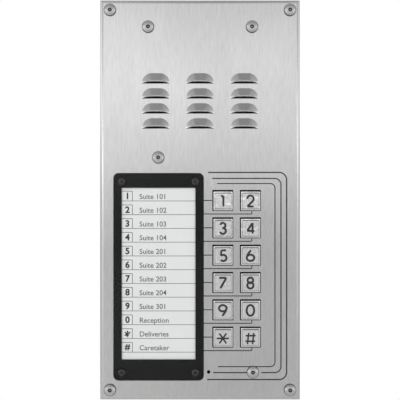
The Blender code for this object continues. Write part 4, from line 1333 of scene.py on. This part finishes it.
class INTERCOM_OT_keypad_mat(Operator):
    """Moulds the keypad's rubber mat, with a dome under each key"""

    bl_idname = "intercom.keypad_mat"
    bl_label = "Keypad mat"

    def execute(self, context):
        sizes = context.scene.intercom_sizes
        rubber = grey_rubber(context)
        low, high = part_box("keypad_mat")
        front = low.y + sizes.dome_rise
        mat = block("mat_sheet", (low.x, front, low.z), high)
        round_sides(mat, 0.0009, 4)
        bevel(mat, lambda edge: not spans(edge, 1) and centre(edge).y < front + 1e-5, 0.00025, 2)
        hollow = sizes.dome_foot - sizes.dome_skin
        holes = rod("dome_hollow", (0.0, 0.0), hollow, high.y + GAP, front - GAP)
        cut(mat, join(copies_of(holes, key_rows("dome_hollow")), "dome_hollows"))
        soften(mat)
        dress(mat, HOUSING, rubber, ["keypad_mat"])
        domes = copies_of(self.dome(sizes, low.y, front), key_rows("mat_dome"))
        for name, place, dome in zip(KEY_NAMES, KEY_PLACES, domes):
            soften(dome, 40.0, weighted=False)
            dress(dome, HOUSING, rubber)
            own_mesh(dome)
        return {"FINISHED"}

    def dome(self, sizes, top, foot):
        """A hollow dome about the origin's axis, seated a little way into the sheet."""
        skin, edge = sizes.dome_skin, 0.0002
        seat = edge
        outer, crown = sizes.dome_foot, sizes.dome_crown
        profile = [
            (crown - skin, top + skin),
            (outer - skin, foot + seat),
            (outer, foot + seat),
            (outer, foot),
            (outer - edge, foot - edge),
            (crown + edge, top + 1.5 * edge),
            (crown, top + 0.5 * edge),
            (crown - edge, top),
        ]
        return turned("mat_dome", (0.0, 0.0), profile)


FIXING_INSET = 0.018  # from the box's sides to the holes for the wall's screws
FIXING_R = 0.0025
INLET_R = 0.0075
THREAD_DEPTH = 0.016
GROOVE = 0.0005  # depth of the knockouts' rings


class INTERCOM_OT_back_box(Operator):
    """Casts the back box, with its posts, holes and knockouts"""

    bl_idname = "intercom.back_box"
    bl_label = "Back box"

    def execute(self, context):
        sizes = context.scene.intercom_sizes
        wall = sizes.box_wall
        rim, rear = BOX_LOW.y, BOX_HIGH.y
        floor = rear - wall
        box = block("back_box_casting", BOX_LOW, BOX_HIGH)
        round_sides(box, 0.001, 4)
        bevel(box, lambda edge: centre(edge).y > rear - 1e-6, 0.0007, 3)
        low = BOX_LOW + Vector((wall, -wall, wall))
        cavity = block("box_cavity", low, BOX_HIGH - Vector((wall, wall, wall)))
        round_sides(cavity, sizes.box_post, 1)
        cut(box, cavity)
        fixings = corners("back_box", FIXING_INSET)
        pad = floor + GAP, floor - 0.0008
        add(box, join([rod("pad", place, 0.0056, *pad, tip=0.005) for place in fixings], "pads"))
        threads = [spot(f"corner_screw_{i}") for i in range(1, 5)]
        beyond = rear + wall, floor - wall
        thread = rim + THREAD_DEPTH, rim - wall
        holes = [rod("thread", place, SCREW_HOLE_R, *thread) for place in threads]
        holes += [rod("fixing", place, FIXING_R, *beyond) for place in fixings]
        holes.append(rod("inlet", spot("cable_grommet"), INLET_R, *beyond, 48))
        cut(box, join(holes, "box_holes"))
        for groove in self.knockouts(sizes):
            cut(box, groove)
        soften(box)
        finish = painted_casting(context.scene.intercom_colours.casting)
        dress(box, HOUSING, finish, ["back_box"])
        return {"FINISHED"}

    def knockouts(self, sizes):
        """A ring to groove each of the four outer sides with."""
        depth = (BOX_LOW.y + BOX_HIGH.y) / 2
        sides = [((0.0, depth, z), 0.0) for z in (BOX_LOW.z, BOX_HIGH.z)]
        sides += [((x, depth, 0.0), math.pi / 2) for x in (BOX_LOW.x, BOX_HIGH.x)]
        for place, turn in sides:
            put_down()
            bpy.ops.mesh.primitive_torus_add(
                location=place,
                rotation=(0.0, turn, 0.0),
                major_radius=sizes.knockout,
                minor_radius=GROOVE,
                major_segments=64,
                minor_segments=12,
            )
            yield settle(bpy.context.object, "knockout")


# ---------------------------------------------------------------- finishes of the frame's own nodes


class INTERCOM_OT_finishes(Operator):
    """Gives the frame's own nodes their finishes"""

    bl_idname = "intercom.finishes"
    bl_label = "Finishes"

    def execute(self, context):
        colours = context.scene.intercom_colours
        zinc = satin_metal("zinc_plate", (0.52, 0.53, 0.54), 0.36)
        rubber = grey_rubber(context)
        laminate = moulded("board_laminate", colours.laminate, 0.34, 260.0, 0.00002, 0.10)
        plastic = moulded("black_plastic", (0.028, 0.028, 0.03), 0.46, 1800.0, 0.00004)
        pale = moulded("pale_plastic", (0.78, 0.77, 0.73), 0.4, 1500.0, 0.00003)
        blue = moulded("blue_plastic", (0.03, 0.11, 0.42), 0.38, 1500.0, 0.00003)
        paper = moulded("cone_paper", (0.045, 0.045, 0.047), 0.88, 700.0, 0.00012, 0.15)
        grey_wire = moulded("grey_ribbon", (0.42, 0.43, 0.45), 0.45, 900.0, 0.00003)
        finishes = {
            "lens_mask": glossy_border(colours.border),
            "directory_card": card_stock(colours.card),
            "lens_gasket": foam(),
            "speaker_gasket": foam(),
            "box_gasket": foam(),
            "microphone_boot": rubber,
            "cable_grommet": rubber,
            "keypad_frame": plastic,
            "keypad_board": laminate,
            "main_board": laminate,
            "microphone_capsule": felt_and_shade_faced(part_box("microphone_capsule")[0].y),
            "louvre_screen": woven_screen(),
            "speaker_basket": zinc,
            "speaker_magnet": satin_metal("ferrite", (0.055, 0.055, 0.06), 0.6, 1300.0, 0.0),
            "speaker_cone": paper,
            "terminal_block": moulded("green_plastic", (0.04, 0.28, 0.11), 0.42, 1500.0),
            "line_relay": pale,
            "line_transformer": zinc,
            "dip_switch": blue,
            "dip_lever_1": pale,
            "dip_lever_2": pale,
            "volume_trimmer": blue,
            "microphone_trimmer": blue,
            "volume_rotor": pale,
            "microphone_rotor": pale,
            "ribbon_cable": grey_wire,
            "microphone_wire": grey_wire,
            "speaker_wire": moulded("red_wire", (0.42, 0.03, 0.03), 0.4, 900.0),
            **{f"standoff_{i}": zinc for i in range(1, 5)},
        }
        for node, finish in finishes.items():
            for material_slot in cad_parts[node].material_slots:
                material_slot.material = finish
        return {"FINISHED"}


def glossy_border(tint):
    """Black printed on the back of the clear sheet: smooth, with a trace of unevenness."""
    cloud = (30.0, 2.0)
    material = surface(
        "glossy_border", tint, 0.12, shade=(0.15, *cloud), gloss=(0.09, 0.16, *cloud)
    )
    shader = material.node_tree.nodes["Principled BSDF"]
    shader.inputs["Specular IOR Level"].default_value = 0.1
    return material


def card_stock(tint):
    """White card with short fibres."""
    fibre = ((2600.0, 2600.0, 900.0), 4.0, 0.65, 0.6)
    return surface("card_stock", tint, 0.62, shade=(0.02, *fibre), height=(0.00002, 0.2, *fibre))


def foam():
    """Closed-cell foam: small dark pores."""
    material, tree, shader = new_finish("black_foam", (0.03, 0.03, 0.032), 0.9)
    if tree:
        coordinates = tree.nodes.new("ShaderNodeTexCoord")
        cells = tree.nodes.new("ShaderNodeTexVoronoi")
        cells.inputs["Scale"].default_value = 2200.0
        tree.links.new(coordinates.outputs["Object"], cells.inputs["Vector"])
        shade = ranged(tree, cells.outputs["Distance"], 0.0, 1.0, 0.1, 0.6)
        tree.links.new(
            blended(tree, shade, (0.012, 0.012, 0.013), (0.045, 0.045, 0.047)),
            shader.inputs["Base Color"],
        )
        relief(tree, shader, cells.outputs["Distance"], 0.00015, 0.5)
    return material


def felt_and_shade_faced(front):
    """A plated can whose front is covered with black felt, coloured near black: the felt, and
    painted shade in the voice hole before it.
    """
    material, tree, shader = new_finish("felt_and_shade_faced", (0.4, 0.4, 0.41), 0.5)
    if tree:
        fibre = grain(tree, 3000.0, 4.0, 0.7)
        behind = by_depth(tree, front + 0.00015, front + 0.0002)
        # Near black: the felt's own colour darkened further, as painted shade seen through the
        # voice hole.
        felt_and_shade = blended(tree, ranged(tree, fibre, 0.0, 1.0), (0.004,) * 3, (0.012,) * 3)
        faced = blended(tree, behind, felt_and_shade, (0.5, 0.5, 0.51))
        tree.links.new(faced, shader.inputs["Base Color"])
        tree.links.new(behind, shader.inputs["Metallic"])
        tree.links.new(ranged(tree, behind, 0.95, 0.36, 0.0, 1.0), shader.inputs["Roughness"])
    return material


def woven_screen():
    """Dark woven cloth: two sets of threads at right angles."""
    material, tree, shader = new_finish("screen_cloth", (0.02, 0.02, 0.021), 0.85)
    if tree:
        coordinates = tree.nodes.new("ShaderNodeTexCoord")
        heights = []
        for direction in ("X", "Z"):
            threads = tree.nodes.new("ShaderNodeTexWave")
            threads.wave_type = "BANDS"
            threads.bands_direction = direction
            threads.inputs["Scale"].default_value = 900.0
            tree.links.new(coordinates.outputs["Object"], threads.inputs["Vector"])
            heights.append(threads.outputs["Fac"])
        weave = product(tree, "ShaderNodeMath", *heights)
        crossed = blended(tree, weave, (0.006,) * 3, (0.04, 0.04, 0.042))
        tree.links.new(crossed, shader.inputs["Base Color"])
        relief(tree, shader, weave, 0.0002, 0.6)
    return material


def painted_casting(tint):
    """Powder coat: a fine orange peel on metal, a little rubbed."""
    peel = (1500.0, 2.0, 0.5)
    return surface(
        "painted_casting",
        tint,
        0.5,
        shade=(0.09, 28.0, 4.0, 0.6),
        gloss=(0.42, 0.58, *peel),
        height=(0.00012, 0.45, *peel),
    )


# ---------------------------------------------------------------- stage


# The tone of the room by height and by side, each from -1 to 1 along the direction seen.
UP_TONES = (
    (-1.0, 0.60), (-0.30, 0.55), (-0.10, 0.62), (-0.02, 0.50), (0.03, 0.70), (0.07, 1.36),
    (0.11, 1.46), (0.15, 1.05), (0.19, 0.55), (0.28, 0.42), (0.45, 0.34), (0.75, 0.34), (1.0, 0.60),
)
BACK_TONES = ((-1.0, 1.0), (0.0, 1.0), (0.2, 0.7), (0.5, 0.4), (1.0, 0.4))
SIDE_TONES = (
    (-1.0, 1.3), (-0.6, 1.8), (-0.3, 1.6), (-0.07, 1.25), (0.0, 1.0), (0.06, 1.0),
    (0.12, 1.12), (0.3, 1.4), (0.6, 1.7), (1.0, 1.1),
)
# Where each lamp stands, its width and height, and its power in watts.
LAMPS = {
    "key_light": ((-0.9, -1.1, 0.9), (0.9, 0.7), 9.0),
    "fill_light": ((1.1, -0.9, 0.2), (0.8, 0.9), 3.0),
    "rear_light": ((-0.5, 1.2, 0.7), (0.9, 0.9), 7.0),
}


def add_lamp(name, place, size, power):
    put_down()
    bpy.ops.object.light_add(type="AREA", location=place)
    lamp = bpy.context.object
    lamp.name = name
    lamp.data.shape = "RECTANGLE"
    lamp.data.size, lamp.data.size_y = size
    lamp.data.energy = power
    lamp.rotation_euler = (-Vector(place)).to_track_quat("-Z", "Y").to_euler()
    lamp.visible_glossy = False


class INTERCOM_OT_stage(Operator):
    """Adds the camera, the pale floor and the soft studio light"""

    bl_idname = "intercom.stage"
    bl_label = "Stage"

    def execute(self, context):
        settings = context.scene.intercom_stage
        self.camera(context, settings)
        self.floor(settings)
        self.surround(context, settings)
        for name, (place, size, power) in LAMPS.items():
            add_lamp(name, place, size, power)
        context.scene.view_settings.view_transform = "Standard"
        context.scene.view_settings.look = "None"
        return {"FINISHED"}

    def camera(self, context, settings):
        put_down()
        bpy.ops.object.camera_add(
            location=(0.0, PLATE_FRONT - settings.distance, 0.0),
            rotation=(math.pi / 2, 0.0, 0.0),
        )
        camera = context.object
        camera.name = "camera"
        camera.data.sensor_width = 36.0
        camera.data.lens = 36.0 * settings.distance / (PLATE_HIGH.z - PLATE_LOW.z)
        camera.data.clip_start = 0.01
        context.scene.camera = camera

    def floor(self, settings):
        put_down()
        bpy.ops.mesh.primitive_plane_add(
            size=settings.floor_size, location=(0.0, 0.0, PLATE_LOW.z - settings.floor_drop)
        )
        floor = settle(bpy.context.object, "floor")
        pale = moulded("pale_floor", (0.82, 0.82, 0.81), 0.7, 300.0, 0.0, 0.01)
        floor.data.materials.append(pale)

    def surround(self, context, settings):
        """White behind the object. It reflects a room, brighter low in front and at the left."""
        world = bpy.data.worlds.new("studio")
        context.scene.world = world
        world.use_nodes = True
        tree = world.node_tree
        backdrop = tree.nodes["Background"]
        backdrop.inputs["Color"].default_value = (1.0, 1.0, 1.0, 1.0)
        room = tree.nodes.new("ShaderNodeBackground")
        room.inputs["Strength"].default_value = settings.sky
        direction = tree.nodes.new("ShaderNodeTexCoord")
        split = tree.nodes.new("ShaderNodeSeparateXYZ")
        tree.links.new(direction.outputs["Generated"], split.inputs[0])
        made = self.tones(tree, split.outputs["Z"], UP_TONES)
        for axis, stops in (("X", SIDE_TONES), ("Y", BACK_TONES)):
            more = self.tones(tree, split.outputs[axis], stops)
            made = product(tree, "ShaderNodeVectorMath", made, more)
        tree.links.new(made, room.inputs["Color"])
        seen = tree.nodes.new("ShaderNodeLightPath")
        mix = tree.nodes.new("ShaderNodeMixShader")
        tree.links.new(seen.outputs["Is Camera Ray"], mix.inputs["Fac"])
        tree.links.new(room.outputs[0], mix.inputs[1])
        tree.links.new(backdrop.outputs[0], mix.inputs[2])
        tree.links.new(mix.outputs[0], tree.nodes["World Output"].inputs["Surface"])

    def tones(self, tree, value, stops):
        """A smooth run of tones over a value from -1 to 1."""
        place = ranged(tree, value, 0.0, 1.0, -1.0, 1.0)
        ramp = tree.nodes.new("ShaderNodeValToRGB")
        ramp.color_ramp.interpolation = "EASE"
        elements = ramp.color_ramp.elements
        for position, _ in stops[1:-1]:
            elements.new((position + 1) / 2)
        for element, (position, tone) in zip(elements, stops):
            element.position = (position + 1) / 2
            element.color = (tone, tone, tone, 1.0)
        tree.links.new(place, ramp.inputs[0])
        return ramp.outputs["Color"]


# ---------------------------------------------------------------- panel and registration


class INTERCOM_PT_panel(Panel):
    """Lists the pieces, in the order in which they are made"""

    bl_idname = "INTERCOM_PT_panel"
    bl_label = "Door intercom panel"
    bl_space_type = "VIEW_3D"
    bl_region_type = "UI"
    bl_category = "Intercom"

    def draw(self, context):
        column = self.layout.column(align=True)
        for operator in OPERATORS:
            column.operator(operator.bl_idname)
        for name in ("intercom_sizes", "intercom_colours", "intercom_stage"):
            box = self.layout.box()
            group = getattr(context.scene, name)
            for prop in type(group).__annotations__:
                box.prop(group, prop)


OPERATORS = (
    INTERCOM_OT_faceplate,
    INTERCOM_OT_plate_print,
    INTERCOM_OT_button_screws,
    INTERCOM_OT_lens,
    INTERCOM_OT_lens_screws,
    INTERCOM_OT_card_print,
    INTERCOM_OT_keys,
    INTERCOM_OT_key_legends,
    INTERCOM_OT_nuts,
    INTERCOM_OT_keypad_mat,
    INTERCOM_OT_back_box,
    INTERCOM_OT_finishes,
    INTERCOM_OT_stage,
)
GROUPS = (PanelSizes, PanelColours, StageSettings)


def register():
    for kind in (*GROUPS, *OPERATORS, INTERCOM_PT_panel):
        bpy.utils.register_class(kind)
    bpy.types.Scene.intercom_sizes = PointerProperty(type=PanelSizes)
    bpy.types.Scene.intercom_colours = PointerProperty(type=PanelColours)
    bpy.types.Scene.intercom_stage = PointerProperty(type=StageSettings)


def unregister():
    del bpy.types.Scene.intercom_stage
    del bpy.types.Scene.intercom_colours
    del bpy.types.Scene.intercom_sizes
    for kind in reversed((*GROUPS, *OPERATORS, INTERCOM_PT_panel)):
        bpy.utils.unregister_class(kind)


def main():
    register()
    for operator in OPERATORS:
        group, name = operator.bl_idname.split(".")
        getattr(getattr(bpy.ops, group), name)()


if __name__ == "__main__":
    main()
